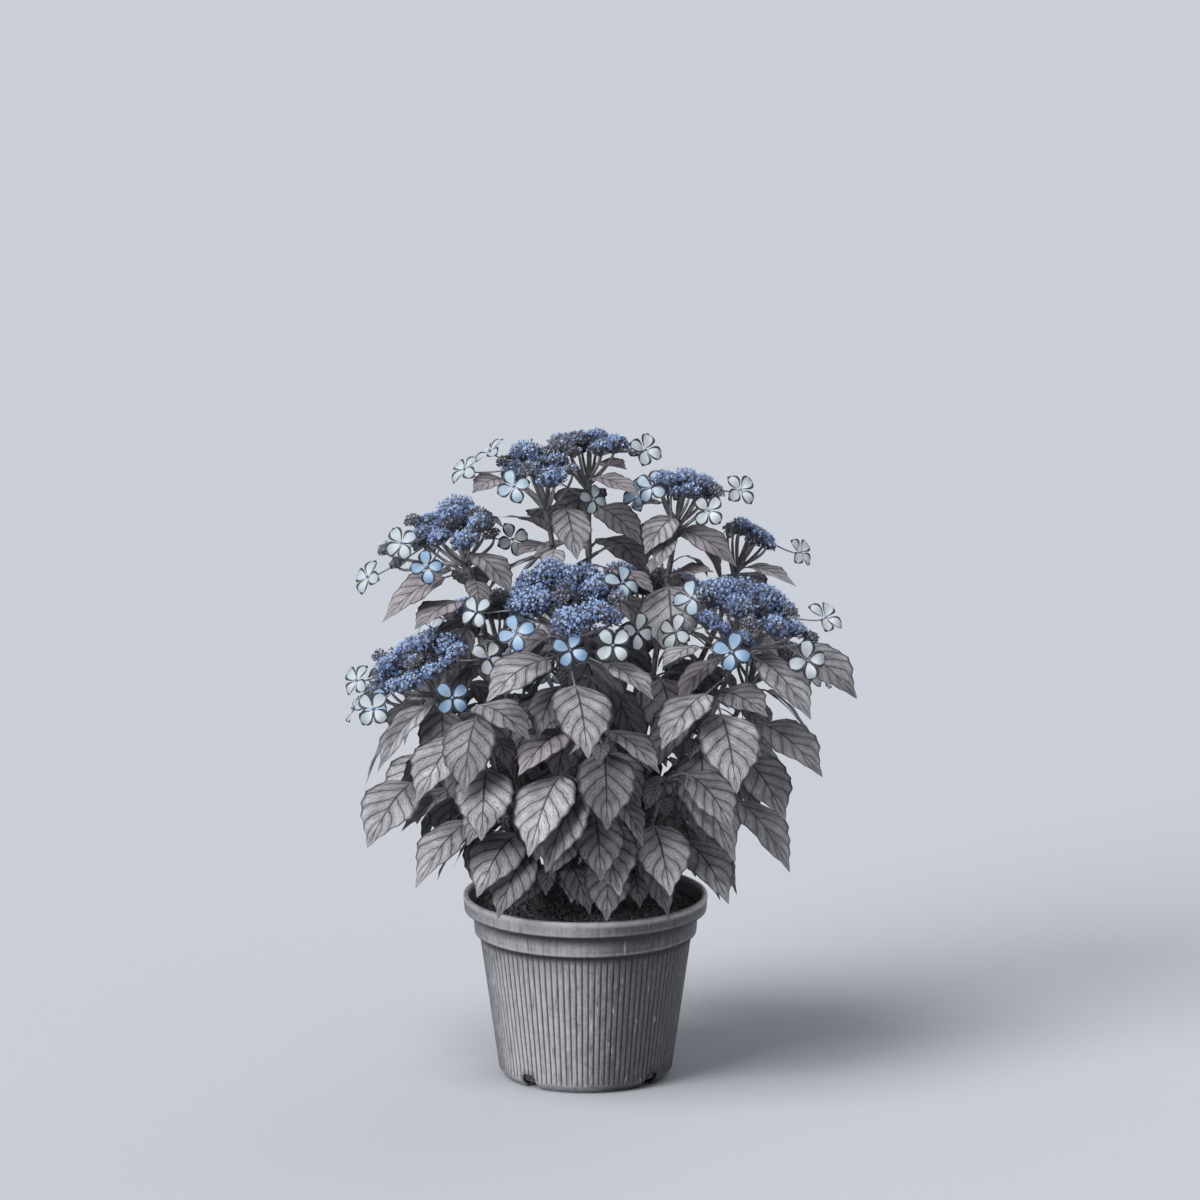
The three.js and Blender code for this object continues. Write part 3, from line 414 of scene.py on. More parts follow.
# a low dome whose edge swells by a cosine of the bearing
def domeSurface(plan, colatitude, degrees):
    girth, height = np.sin(colatitude), np.cos(colatitude)
    lump = 0.93 + 0.07 * np.cos(np.radians(degrees) * blossom["swells"])
    rise = np.where(height > 0, blossom["domeRise"], blossom["domeSink"])
    return domePoint(plan, degrees, girth * mix(1, lump, girth), height * rise)


# a head's centre, axes and foot, and its florets: where each is, the way it faces, its size and its tint
def headPlan(head):
    centre = np.array(head["at"], float)
    outward = unit(centre * (1, 1, 0))
    lean = math.radians(head["lean"])
    axis = up * math.cos(lean) + outward * math.sin(lean)
    right = unit(np.array([1.0, 0.0, 0.0]) - axis * axis[0])
    plan = dict(head=head, centre=centre, axis=axis, right=right, away=np.cross(axis, right), outward=outward,
                foot=centre - axis * blossom["rayLength"], florets=[])
    chance = chanceFrom(700 + heads.index(head))
    places = []
    for across, rise, turned in head["seen"]:
        reach = math.sqrt(max(0, (blossom["seenOut"] * head["radius"]) ** 2 - across ** 2))
        depth = -blossom["forward"] if rise < blossom["highRise"] else blossom["backward"]
        places.append(centre + fromFront(across, rise, depth * reach))
    for degrees in head["behind"]:
        places.append(domePoint(plan, degrees, blossom["behindOut"], chance(-0.3, -0.1)))
    size = blossom["floretRadius"] + blossom["floretGrowth"] * head["radius"]
    for k, place in enumerate(places):
        turned = head["seen"][k][2] if k < len(head["seen"]) else 1
        face = unit(place - centre) * 0.55 + (0, -0.9 * (1 - turned), 0.5)
        face[2] += chance(-0.1, 0.2)
        plan["florets"].append(dict(at=place, face=unit(face), radius=size * chance(0.9, 1.04),
                                    spin=chance(0, 90), tint=head["tints"][k]))
    return plan


# a floret's own sideways and up: cross products with its face
def floretAxes(floret):
    right = unit(np.cross(up, floret["face"]))
    return right, np.cross(floret["face"], right)


# a floret's stalk leaves its head at a share of the head's radius from the centre
def stalkRoot(plan, floret):
    chord = floret["at"] - plan["centre"]
    share = blossom["stalkOut"]
    return plan["centre"] + chord * min(share, share * plan["head"]["radius"] / np.linalg.norm(chord))


# points all over a head: its dome, its rays, and each floret's disc and stalk
def headSkin(plan):
    skin = [domeSurface(plan, *pairsOf(np.pi * np.arange(25) / 24, np.arange(72) * 5))]
    stems = [(plan["foot"] - plan["axis"] * below, domePoint(plan, degrees, 0.6, -0.05))
             for degrees, below in blossom["rays"]]
    skin += [stalkSkin(start, end, 0, 2) for start, end in stems + [(plan["foot"], plan["centre"])]]
    ring, turn, lift = (a.ravel()[:, None] for a in np.meshgrid(
        np.arange(7) / 6, np.arange(36) * np.pi / 18, [-1.5, 2.5], indexing="ij"))
    for floret in plan["florets"]:
        right, rise = floretAxes(floret)
        spread = floret["radius"] * ring
        disc = floret["at"] + right * spread * np.cos(turn) + rise * spread * np.sin(turn)
        skin.append(disc + floret["face"] * lift)
        skin.append(stalkSkin(stalkRoot(plan, floret), floret["at"], 0, 1.4))
    return np.concatenate(skin)


# a Bezier curve from a root, off along its start, and into a head's foot along its axis
def stemCurve(root, start, plan):
    span = np.linalg.norm(plan["foot"] - root)
    return bezier(root, root + start * span * 0.34,
                  plan["foot"] - plan["axis"] * span * 0.26 - up * span * 0.1, plan["foot"])


# canes from the compost, each running on as the bough and stem of its leading head, with side boughs
def growWood():
    plans = {head["name"]: headPlan(head) for head in heads}
    limbs, shoots = [], []

    def addLimb(name, curve, start, end, *radii):
        limbs.append(dict(name=name, curve=curve, start=start, end=end, radii=radii))

    for cane in canes:
        lead, leader = cane["leader"], plans[cane["leader"]]
        spread = min(1, math.hypot(*leader["centre"][:2]) / 150)
        foot = leader["outward"] * wood["footSpread"] * spread
        foot[2] = compostSize["level"] - wood["buried"]
        curve = stemCurve(foot, unit(up + leader["outward"] * 0.25 * spread), leader)
        addLimb("cane_" + cane["name"], curve, 0, wood["caneEnd"], wood["footRadius"], wood["forkRadius"])
        addLimb("bough_" + lead, curve, wood["caneEnd"], wood["boughEnd"], wood["forkRadius"] * 0.94,
                wood["boughRadius"])
        shoots.append(dict(name=lead, plan=leader, curve=curve, start=wood["boughEnd"]))
        for side in cane["sides"]:
            root = curve(wood["sideFork"])
            branch = stemCurve(root, unit(unit(plans[side]["foot"] - root) + up), plans[side])
            addLimb("bough_" + side, branch, 0, wood["sideBoughEnd"], wood["boughRadius"],
                    wood["boughRadius"] * 0.94)
            shoots.append(dict(name=side, plan=plans[side], curve=branch, start=wood["sideBoughEnd"]))
    return limbs, shoots


# a ring of leafy shoots, each from the nearest limb, and tried a little further off until it has room
def growTier(tier, limbs):
    def leavePoint(part, more):
        return part["curve"](mix(part["start"], part["end"], tier["leaveAt"] + more))

    hosts = [part for part in limbs if part["name"].startswith(tier["start"])]
    shoots = []
    for k in range(tier["count"]):
        chance = chanceFrom(3000 + tier["reach"] + k)
        degrees = tier["turn"] + k * 360 / tier["count"]
        host = max(hosts, key=lambda part: float(leavePoint(part, 0) @ bearing(degrees)))
        name = "%s_%d" % (tier["name"], k + 1)
        for tried in range(5 * foliage["tries"]):
            spread = 1 + 0.08 * tried
            heading = bearing(degrees + chance(-3, 3) * spread)
            root = leavePoint(host, chance(0, 0.06) * min(spread, 3))
            tip = heading * tier["reach"] * chance(0.94, 1.06)
            tip[2] = tier["height"] + chance(-5, 5) * spread
            curve = bezier(root, mix(root, tip, 0.35) + up * 12, mix(root, tip, 0.7) + up * 6, tip)
            skin = skinOf(pointsAlong(curve, 0.06, 1, 60), 3)
            if isFree(skin, host["name"]):
                claim(skin, name)
                shoots.append(dict(name=name, curve=curve, start=0, tier=tier))
                break
    return shoots


# where a shoot's pairs of leaves leave it, with their length and how far they hang
def spotsOf(shoot):
    if "tier" in shoot:
        tier = shoot["tier"]
        return [dict(share=1 - k * 0.25, length=tier["leafLength"] * (1 - 0.04 * k),
                     hang=mix(0.8, 1, k / tier["pairs"])) for k in range(tier["pairs"])]
    length = lengthOf(shoot["curve"])
    spots, below = [], foliage["firstPair"]
    while below < length * (1 - shoot["start"]) - foliage["bareFoot"]:
        grown = min(1, (below + 20 + shoot["plan"]["head"]["radius"]) / 170)
        share = 1 - below / length
        hang = min(1, max(0, (foliage["hangFrom"] - shoot["curve"](share)[2]) / foliage["hangOver"]))
        spots.append(dict(share=share, length=mix(foliage["topLeaf"], foliage["fullLeaf"], grown),
                          hang=mix(0.4, 0.95, hang)))
        below += foliage["internode"]
    return spots


# pairs of leaves up a shoot, each pair a quarter turn on from the last and drawn towards the outside
def growPairs(shoot, seed):
    chance = chanceFrom(seed)
    firstTurn = chance(0, 180)
    grown = []
    for k, spot in enumerate(spotsOf(shoot)):
        for opposite in (0, 1):
            root = shoot["curve"](spot["share"])
            outward = math.degrees(math.atan2(root[1], root[0]))
            own = firstTurn + 90 * k + 180 * opposite + chance(-12, 12)
            off = (own - outward + 180) % 360 - 180
            grown.append(growLeaf(root, outward + off * 0.78, spot["length"], spot["hang"], shoot["name"],
                                  seed * 40 + 2 * k + opposite))
    return [leaf for leaf in grown if leaf]


limbs, flowering = growWood()
for part in limbs:
    claim(skinOf(pointsAlong(part["curve"], part["start"], part["end"], 80), part["radii"][0]), part["name"])
for shoot in flowering:
    claim(skinOf(pointsAlong(shoot["curve"], shoot["start"], 1, 120), wood["shootRadius"]), shoot["name"])
for shoot in flowering:
    claim(headSkin(shoot["plan"]), shoot["name"])
everyShoot = flowering + [shoot for tier in tiers for shoot in growTier(tier, limbs)]
leaves = growFaceLeaves(everyShoot)
for k, shoot in enumerate(everyShoot):
    leaves += growPairs(shoot, 100 + k)
print("grown:", len(everyShoot), "shoots,", len(leaves), "leaves")

# finer growth by the same rule: young leaves in the axils, wherever there is still room
youngLeaf = {"length": (30, 52), "perShoot": 7}
for k, shoot in enumerate(everyShoot):
    chance = chanceFrom(9000 + k)
    for n in range(youngLeaf["perShoot"]):
        root = shoot["curve"](mix(max(shoot["start"], 0.25), 0.97, chance(0, 1)))
        leaf = growLeaf(root, chance(0, 360), chance(*youngLeaf["length"]), chance(0.1, 0.8), shoot["name"],
                        90000 + 50 * k + n)
        if leaf:
            leaf["young"] = True
            leaves.append(leaf)
print("with young leaves:", len(leaves))

noQuads = np.zeros((0, 4), int)
noTris = np.zeros((0, 3), int)


# an object in the scene that holds data
def addThing(name, data):
    thing = bpy.data.objects.new(name, data)
    bpy.context.scene.collection.objects.link(thing)
    return thing


# A mesh from a shape, which is points in millimetres, quads and triangles. uv is one pair to a point, and
# slots one material's number to a face.
def makePiece(name, shape, *materials, uv=None, slots=None, smooth=True):
    points, quads, tris = shape
    corners = np.concatenate([quads.ravel(), tris.ravel()]).astype(np.int32)
    sizes = np.repeat([4, 3], [len(quads), len(tris)])
    mesh = bpy.data.meshes.new(name)
    mesh.vertices.add(len(points))
    mesh.vertices.foreach_set("co", (points * 0.001).astype(np.float32).ravel())
    mesh.loops.add(len(corners))
    mesh.loops.foreach_set("vertex_index", corners)
    mesh.polygons.add(len(sizes))
    mesh.polygons.foreach_set("loop_start", (np.cumsum(sizes) - sizes).astype(np.int32))
    mesh.polygons.foreach_set("use_smooth", np.full(len(sizes), smooth))
    for material in materials:
        mesh.materials.append(material)
    if slots is not None:
        mesh.polygons.foreach_set("material_index", slots.astype(np.int32))
    mesh.update(calc_edges=True)
    if uv is not None:
        mesh.uv_layers.new(name="own").data.foreach_set("uv", uv.astype(np.float32)[corners].ravel())
    mesh.validate()
    return addThing(name, mesh)


# quads between the rows and columns of a grid; closed joins the last column to the first
def gridQuads(rows, columns, closed):
    i, j = np.meshgrid(np.arange(rows - 1), np.arange(columns if closed else columns - 1), indexing="ij")
    k = (j + 1) % columns
    quads = [i * columns + j, i * columns + k, (i + 1) * columns + k, (i + 1) * columns + j]
    return np.stack(quads, -1).reshape(-1, 4)


# a fan of triangles that closes a ring of corners
def fanOf(sides):
    return np.stack([np.zeros(sides - 2, int), np.arange(2, sides), np.arange(1, sides - 1)], -1)


# rings of points round the axis, closed at the first and the last by one point on the axis
def turnedShape(x, y, z, firstZ, lastZ):
    rows, columns = x.shape
    j = np.arange(columns)
    k = (j + 1) % columns
    last = (rows - 1) * columns
    tris = np.concatenate([np.stack([np.full(columns, rows * columns), k, j], -1),
                           np.stack([np.full(columns, rows * columns + 1), last + j, last + k], -1)])
    points = np.concatenate([np.stack([x, y, z], -1).reshape(-1, 3), [(0, 0, firstZ), (0, 0, lastZ)]])
    return points, gridQuads(rows, columns, True), tris


# Many tubes at once: a circle carried along each path, square to it, with a fan closing each end. There is
# one radius to a step, or one to a step and side.
def tubes(paths, radii, sides):
    count, steps = paths.shape[:2]
    along = unit(np.gradient(paths, axis=1))
    mean = unit(paths[:, -1] - paths[:, 0])
    helper = np.where(np.abs(mean[:, :1]) < 0.7, [[1.0, 0, 0]], [[0, 1.0, 0]])[:, None, :]
    side = unit(np.cross(along, helper))
    other = np.cross(along, side)
    turn = np.arange(sides) * 2 * np.pi / sides
    ring = side[:, :, None] * np.cos(turn)[:, None] + other[:, :, None] * np.sin(turn)[:, None]
    points = paths[:, :, None] + ring * np.reshape(radii, (count, steps, -1, 1))
    base = (np.arange(count) * steps * sides)[:, None, None]
    fan = fanOf(sides)[None] + base
    tris = np.concatenate([fan, fan[:, :, ::-1] + (steps - 1) * sides])
    return points.reshape(-1, 3), (gridQuads(steps, sides, True) + base).reshape(-1, 4), tris.reshape(-1, 3)


# Copies of one small shape: each is scaled, spun, and turned so that its own up follows an axis. A row of
# sizes has one number, or three where a copy is stretched.
def scatter(shape, places, axes, spins, sizes):
    helper = np.where(np.abs(axes[:, 2:]) < 0.9, [[0, 0, 1.0]], [[1.0, 0, 0]])
    side = unit(np.cross(helper, axes))
    other = np.cross(axes, side)
    c, s = np.cos(spins)[:, None], np.sin(spins)[:, None]
    local = shape[0] * sizes[:, None]
    points = places[:, None] + local[..., :1] * (side * c + other * s)[:, None]
    points = points + local[..., 1:2] * (other * c - side * s)[:, None] + local[..., 2:] * axes[:, None]
    tris = shape[2] + (np.arange(len(places)) * len(shape[0]))[:, None, None]
    return points.reshape(-1, 3), noQuads, tris.reshape(-1, 3)


# shapes as one: corners count on from the points before them
def joinShapes(shapes):
    points, quads, tris = zip(*shapes)
    starts = np.cumsum([0] + [len(p) for p in points])
    return (np.concatenate(points), np.concatenate([q + start for q, start in zip(quads, starts)]),
            np.concatenate([t + start for t, start in zip(tris, starts)]))


# grids of one size, each with its own points and uv, as one shape with the uv of all
def joinGrids(grids, quads):
    points, uv = (np.concatenate(part) for part in zip(*grids))
    starts = np.arange(len(grids)) * len(grids[0][0])
    return (points, (quads + starts[:, None, None]).reshape(-1, 4), noTris), uv


# smooth relief: a sum of cosines in two parameters with seeded phases
def relief(u, v, scales, seed):
    draw = np.random.default_rng(seed)
    total = np.zeros(np.broadcast(u, v).shape)
    for fu, fv, height in scales:
        total = total + height * np.cos(fu * u + fv * v + draw.uniform(0, 6.28))
    return total


# sRGB hex to linear: below 0.04045 divided by 12.92, above it the 2.4 power
def linear(hexColour):
    srgb = np.array([int(hexColour[k:k + 2], 16) for k in (1, 3, 5)]) / 255
    return (*np.where(srgb <= 0.04045, srgb / 12.92, ((srgb + 0.055) / 1.055) ** 2.4), 1.0)


# Adds a node with its settings and links. Values fill its inputs in order, and a dictionary fills them by
# name or number. A node is linked from its first output in use and a socket as it is, a hex string is a
# colour, and stops fill a colour ramp, the first two its ends.
def addNode(tree, kind, *values, stops=(), **settings):
    made = tree.nodes.new("ShaderNode" + kind)
    for key, value in settings.items():
        setattr(made, key, value)
    inputs = {}
    for k, value in enumerate(values):
        inputs.update(value if isinstance(value, dict) else {k: value})
    for key, value in inputs.items():
        if isinstance(value, bpy.types.Node):
            value = next(output for output in value.outputs if output.enabled)
        if isinstance(value, bpy.types.NodeSocket):
            tree.links.new(value, made.inputs[key])
        else:
            made.inputs[key].default_value = linear(value) if isinstance(value, str) else value
    for k, (place, colour) in enumerate(stops):
        element = made.color_ramp.elements[k] if k < 2 else made.color_ramp.elements.new(place)
        element.position = place
        element.color = linear(colour)
    return made


# a new material and addNode bound to its tree
def newMaterial(name):
    material = bpy.data.materials.new(name)
    material.use_nodes = True
    material.node_tree.nodes.clear()
    return material, partial(addNode, material.node_tree)


# closes a material: a skin of this colour and finish, with relief from a height
def closeSkin(add, colour, height, strength, distance, finish):
    bump = add("Bump", {"Strength": strength, "Distance": distance, "Height": height})
    add("OutputMaterial", add("BsdfPrincipled", {"Base Color": colour, "Normal": bump, **finish}))


# a blade's shares from its uv: sideways from 0 to 1, along, and across from 0 on the midrib to 1
def bladeShares(add):
    sideways, along = add("SeparateXYZ", add("UVMap", uv_map="own")).outputs[:2]
    signed = add("Math", sideways, 2.0, -1.0, operation="MULTIPLY_ADD")
    return sideways, along, add("Math", signed, operation="ABSOLUTE")


leafLook = {
    "rows": 15, "across": (-1, -0.5, 0, 0.5, 1), "toothDepth": 0.03, "toothReach": 0.016, "fold": 0.28,
    "cup": 0.19, "wave": 0.06, "sag": 0.012, "tipFrom": 0.58, "drawnTip": 0.45, "sideVeins": 6,
    "veinSweep": 0.3, "highFrom": 505, "highShare": 0.75, "faceFrom": 150, "faceShare": 0.85,
    "outerFrom": 165, "outerShare": 0.6, "innerShare": 0.4,
}


# Blade: a grid of along and across. The midrib is the growth rule's arc and the outline the rule's, drawn
# in towards the tip by a smooth step. The halves rise by fold and fall again by cup times the square of
# across, the margin waves by a sine, and every other row is a tooth.
def bladeGrid(leaf, seed):
    look = leafLook
    draw = np.random.default_rng(seed)
    along, across = pairsOf(np.linspace(0, 1, look["rows"]), look["across"])
    inside = np.clip(along, 0.002, 0.998)
    row = np.repeat(np.arange(look["rows"]), len(look["across"]))
    isEdge = np.abs(across) == 1
    isTooth = isEdge & (row % 2 == 1) & (row < look["rows"] - 1)
    late = np.clip((along - look["tipFrom"]) / (1 - look["tipFrom"]), 0, 1)
    narrow = 1 - look["drawnTip"] * late * late * (3 - 2 * late)
    reach = np.where(isTooth, 1 + look["toothDepth"], np.where(isEdge, 1 - look["toothDepth"], 1))
    flat = leafPoint(leaf, inside, across * reach * narrow, np.zeros(len(along)))
    ahead, side, normal = leafAxes(leaf, along)
    half = leaf["width"] / 2 * leafOutline(inside) * narrow
    fold = look["fold"] * np.abs(across)
    lift = half * (fold - look["cup"] * across ** 2 - foliage["crease"] * np.abs(across))
    lift = lift + half * look["wave"] * np.sin(along * 15 + draw.uniform(0, 6.28) + across) * across ** 2
    lift = lift + look["sag"] * leaf["length"] * np.sin(2 * np.pi * along + draw.uniform(-0.6, 0.6))
    points = flat + normal * lift[:, None] + ahead * (isTooth * look["toothReach"] * leaf["length"])[:, None]
    return points, np.stack([across * 0.5 + 0.5, along], -1)


# Hydrangea leaf, grown, not made: a matt blade with a slight waxy gleam. Sunken dark veins, puffed panels
# with finer veins across them and a mottled ground tell it from a flat cut-out.
def leafMaterial(name, look):
    material, add = newMaterial(name)
    where = add("TexCoord").outputs["Object"]
    along, across = bladeShares(add)[1:]
    # side veins: lines of equal phase, which climbs with along and falls with a power of across
    bent = add("Math", across, 0.85, operation="POWER")
    stray = add("TexNoise", {"Vector": where, "Scale": 55.0, "Detail": 2.0})
    sway = add("Math", stray, 0.55, operation="MULTIPLY")
    climb = add("Math", along, leafLook["sideVeins"], sway, operation="MULTIPLY_ADD")
    phase = add("Math", bent, -leafLook["veinSweep"] * leafLook["sideVeins"], climb, operation="MULTIPLY_ADD")
    fromVein = add("Math", phase, 0.5, operation="PINGPONG")  # 0 on a vein, 0.5 midway
    sideVein = add("MapRange", fromVein, 0.018, 0.06, 1.0, 0.0)
    taper = add("Math", along, -0.04, 0.075, operation="MULTIPLY_ADD")
    midrib = add("MapRange", across, 0.012, taper, 1.0, 0.0)
    rim = add("MapRange", across, 0.86, 0.96, 0.0, 0.9)
    # veinlets about 4 mm apart, coarser than the real 1 to 2 mm so that they show
    finer = add("Math", phase, 4.0, operation="MULTIPLY")
    waver = add("TexNoise", {"Vector": where, "Scale": 130.0, "Detail": 3.0})
    wavy = add("Math", waver, 3.0, finer, operation="MULTIPLY_ADD")
    fromVeinlet = add("Math", wavy, 0.5, operation="PINGPONG")
    veinlet = add("MapRange", fromVeinlet, 0.03, 0.16, 0.5, 0.0)
    ink = midrib
    for line in (sideVein, rim, veinlet):
        ink = add("Math", ink, line, operation="MAXIMUM")
    blotch = add("TexNoise", {"Vector": where, "Scale": 30.0, "Detail": 8.0, "Roughness": 0.72})
    # painted light: the ground is lighter midway between side veins, where the blade puffs up, than beside
    # the sunken veins
    paintedPanelLight = add("Math", fromVein, 0.25, 0.05, operation="MULTIPLY_ADD")
    pale = add("Math", blotch, 0.9, paintedPanelLight, operation="MULTIPLY_ADD")
    ground = add("ValToRGB", pale, stops=[(0.38, look["low"]), (0.76, look["high"]), (0.57, look["mid"])])
    share = add("Math", ink, 0.92, operation="MULTIPLY")
    colour = add("Mix", {0: share, 6: ground, 7: look["vein"]}, data_type="RGBA")
    height = add("Math", ink, -0.5, fromVein, operation="MULTIPLY_ADD")
    closeSkin(add, colour, height, 0.8, 0.0009, {"Roughness": look["roughness"], "Specular IOR Level": 0.3})
    return material


# lit and shaded copies of one leaf: front is the lit one, inner a painted-shade copy for leaves inside the
# crown, upper a darker copy with a purple cast for high leaves and some inner ones, partly painted shade;
# young is the young leaves' own colour
leafLitAndShadedColours = {
    "front": dict(low="#6a696e", mid="#949398", high="#bdbcc0", vein="#1f1e24", roughness=0.55),
    "upper": dict(low="#6e686e", mid="#908a8f", high="#b0aaae", vein="#1e1b21", roughness=0.57),
    "inner": dict(low="#55545a", mid="#76757b", high="#96959a", vein="#1a191e", roughness=0.6),
    "young": dict(low="#737276", mid="#949397", high="#b0afb2", vein="#2d2c32", roughness=0.52),
}


# which colour a leaf is dealt: by its height, by how far out it hangs, and by chance, so that leaves at the
# front and outside get the lit colour and inner ones painted shade
def leafSlot(index, leaf):
    look = leafLook
    if leaf.get("young"):
        return 3
    middle = leaf["base"] + leaf["heading"] * leaf["length"] * 0.4
    out = math.hypot(middle[0], middle[1])
    dealt = chanceFrom(40000 + index)(0, 1)
    if middle[2] > look["highFrom"]:
        return 1 if dealt < look["highShare"] else 0
    if leaf.get("face"):
        return 0 if dealt < look["faceShare"] or out > look["faceFrom"] else 1
    if out > look["outerFrom"] and dealt < look["outerShare"]:
        return 0
    return 1 if dealt < look["innerShare"] else 2


# every blade as one piece, each in the colour it is dealt
def makeFoliage():
    quads = gridQuads(leafLook["rows"], len(leafLook["across"]), False)
    shape, uv = joinGrids([bladeGrid(leaf, k) for k, leaf in enumerate(leaves)], quads)
    slots = np.repeat([leafSlot(k, leaf) for k, leaf in enumerate(leaves)], len(quads))
    materials = [leafMaterial("hydrangea_leaf_" + key, look) for key, look in leafLitAndShadedColours.items()]
    return makePiece("foliage", shape, *materials, uv=uv, slots=slots)


leafPiece = makeFoliage()
print("leaves meshed:", len(leafPiece.data.polygons), "faces")

stalkLook = {
    "sides": 6, "steps": 7, "rootRadius": 1.9, "neckRadius": 1.15, "ribAlong": (0.08, 0.2, 0.36, 0.56),
    "ribSink": (-0.5, -0.45, -0.35, -0.2), "ribRadii": (1.0, 0.8, 0.55, 0.3), "taper": 1.6,
    "forLeaf": 95, "thinnest": 0.45, "thickest": 1.1,
}


# Leaf stalk: a Bezier curve that leaves the stem, rises a little and turns into the midrib, which it
# follows on the blade's underside, tapering to nothing.
def stalkPath(leaf):
    ahead, side, normal = leafAxes(leaf, 0.0)
    span = np.linalg.norm(leaf["base"] - leaf["root"])
    first = leaf["root"] + (unit(leaf["base"] - leaf["root"]) + up * 0.35) * span * 0.33
    curve = bezier(leaf["root"], first, leaf["base"] - ahead[0] * span * 0.3, leaf["base"])
    rib = leafPoint(leaf, np.array(stalkLook["ribAlong"]), np.zeros(4), np.array(stalkLook["ribSink"]))
    return np.concatenate([pointsAlong(curve, 0, 1, stalkLook["steps"] - 1), rib])


# a stalk's radius falls by a power of the share left, and grows with its leaf's length
def makeStalks(material):
    look = stalkLook
    share = np.array([leaf["length"] / look["forLeaf"] for leaf in leaves])[:, None]
    stem = mix(look["neckRadius"], look["rootRadius"], np.linspace(1, 0, look["steps"]) ** look["taper"])
    radii = np.concatenate([stem, look["ribRadii"]]) * np.clip(share, look["thinnest"], look["thickest"])
    paths = np.stack([stalkPath(leaf) for leaf in leaves])
    return makePiece("leaf_stalks", tubes(paths, radii, look["sides"]), material)


shootLook = {
    "sides": 12, "steps": 64, "tipSteps": 8, "nodeSwelling": 0.22, "nodeReach": 0.014,
    "flowering": (3.6, 2.7), "leafy": (3.0, 1.8), "waver": [(1, 0, 0.03), (2.3, 0, 0.02)],
}


# Shoot: a circle carried along the shoot's curve. Its radius tapers, swells by a narrow bell at each
# leaf pair and wavers by low cosines, as a fleshy stem does. A flowering one runs on into its head.
def shootTube(shoot, seed):
    look = shootLook
    isFlowering = "plan" in shoot
    start = shoot["start"] + 0.3 / lengthOf(shoot["curve"]) if isFlowering else 0.03
    t = np.linspace(start, 1, look["steps"])
    path = shoot["curve"](t)
    if isFlowering:
        onward = np.linspace(0.1, 1, look["tipSteps"])[:, None]
        path = np.concatenate([path, path[-1] + (shoot["plan"]["centre"] - path[-1]) * onward])
        t = np.concatenate([t, np.full(look["tipSteps"], 1.0)])
    share = np.linspace(0, 1, len(path))
    radius = mix(*look["flowering" if isFlowering else "leafy"], share)
    for spot in spotsOf(shoot):
        radius = radius * (1 + look["nodeSwelling"] * np.exp(-((t - spot["share"]) / look["nodeReach"]) ** 2))
    radius = radius * (1 + relief(share * 40, share, look["waver"], seed))
    radius[-1] *= 0.4
    return tubes(path[None], radius, look["sides"])


barkLook = {
    "sides": 28, "rowsPerMm": 0.55, "strip": 0.42, "knot": 0.9, "knotEvery": 34, "knotPower": 24,
    "flare": 0.28, "flareReach": 9, "sunk": 0.12,
    "strips": [(5, 0.05, 0.3), (9, -0.07, 0.22), (13, 0.11, 0.16), (2, 0.2, 0.14), (17, 0.3, 0.1)],
}


# Bark: a tube whose radius is pushed out and in by long strips (cosines that run along the stem and
# drift round it) and by a ring of knots at each old leaf pair. Lower ends are cut flat at the compost.
def barkTube(part, seed):
    look = barkLook
    length = lengthOf(part["curve"]) * (part["end"] - part["start"])
    rows = max(12, int(length * look["rowsPerMm"]))
    path = pointsAlong(part["curve"], part["start"], part["end"], rows - 1)
    isCane = part["name"].startswith("cane_")
    if isCane:
        path = path[path[:, 2] > compostSize["level"] - 4]
    share = np.linspace(0, 1, len(path))[:, None]
    turn = np.arange(look["sides"]) * 2 * np.pi / look["sides"]
    mm = share * length
    radius = mix(*part["radii"], share) * (1 + look["flare"] * isCane * np.exp(-mm / look["flareReach"]))
    ring = np.maximum(np.cos(mm / look["knotEvery"] * 2 * np.pi + seed), 0) ** look["knotPower"]
    knots = look["knot"] * ring * (0.6 + 0.4 * np.cos(2 * turn + seed))
    radius = radius + look["strip"] * relief(turn[None], mm, look["strips"], seed) + knots - look["sunk"]
    return tubes(path[None], radius, look["sides"])


# Woody hydrangea stem: thin grey bark that splits and peels in long strips, so the eye sees pale flakes
# over darker grooves, quite matt.
def barkMaterial():
    material, add = newMaterial("peeling_bark")
    where = add("TexCoord").outputs["Object"]
    drawn = add("Mapping", where, {"Scale": (1, 1, 0.16)})
    # strips about 1.5 mm wide and six times as long
    strips = add("TexNoise", {"Vector": drawn, "Scale": 420.0, "Detail": 5.0, "Roughness": 0.65})
    patches = add("TexNoise", {"Vector": where, "Scale": 60.0, "Detail": 3.0})
    ground = add("ValToRGB", strips, stops=[(0.34, "#29282a"), (0.75, "#aeaba8"), (0.48, "#575557"),
                                            (0.62, "#8b8987")])
    dull = add("Math", patches, 0.5, operation="MULTIPLY")
    colour = add("Mix", {0: dull, 6: ground, 7: "#545254"}, data_type="RGBA")
    closeSkin(add, colour, strips, 0.8, 0.0008, {"Roughness": 0.86, "Specular IOR Level": 0.2})
    return material


# Green shoot, leaf stalk and flower ray: soft skin over pith, satin, faintly ribbed, flecked with small
# pale lenticels
def shootMaterial(name, low, high, fleck):
    material, add = newMaterial(name)
    where = add("TexCoord").outputs["Object"]
    drawn = add("Mapping", where, {"Scale": (1, 1, 0.3)})
    ribs = add("TexNoise", {"Vector": drawn, "Scale": 380.0, "Detail": 3.0})
    flecks = add("TexVoronoi", {"Vector": drawn, "Scale": 300.0})  # about 3 mm apart
    ground = add("ValToRGB", ribs, stops=[(0.36, low), (0.66, high)])
    spots = add("MapRange", flecks, 0.14, 0.24, 0.55, 0.0)
    colour = add("Mix", {0: spots, 6: ground, 7: fleck}, data_type="RGBA")
    closeSkin(add, colour, ribs, 0.4, 0.0004, {"Roughness": 0.58, "Specular IOR Level": 0.35})
    return material


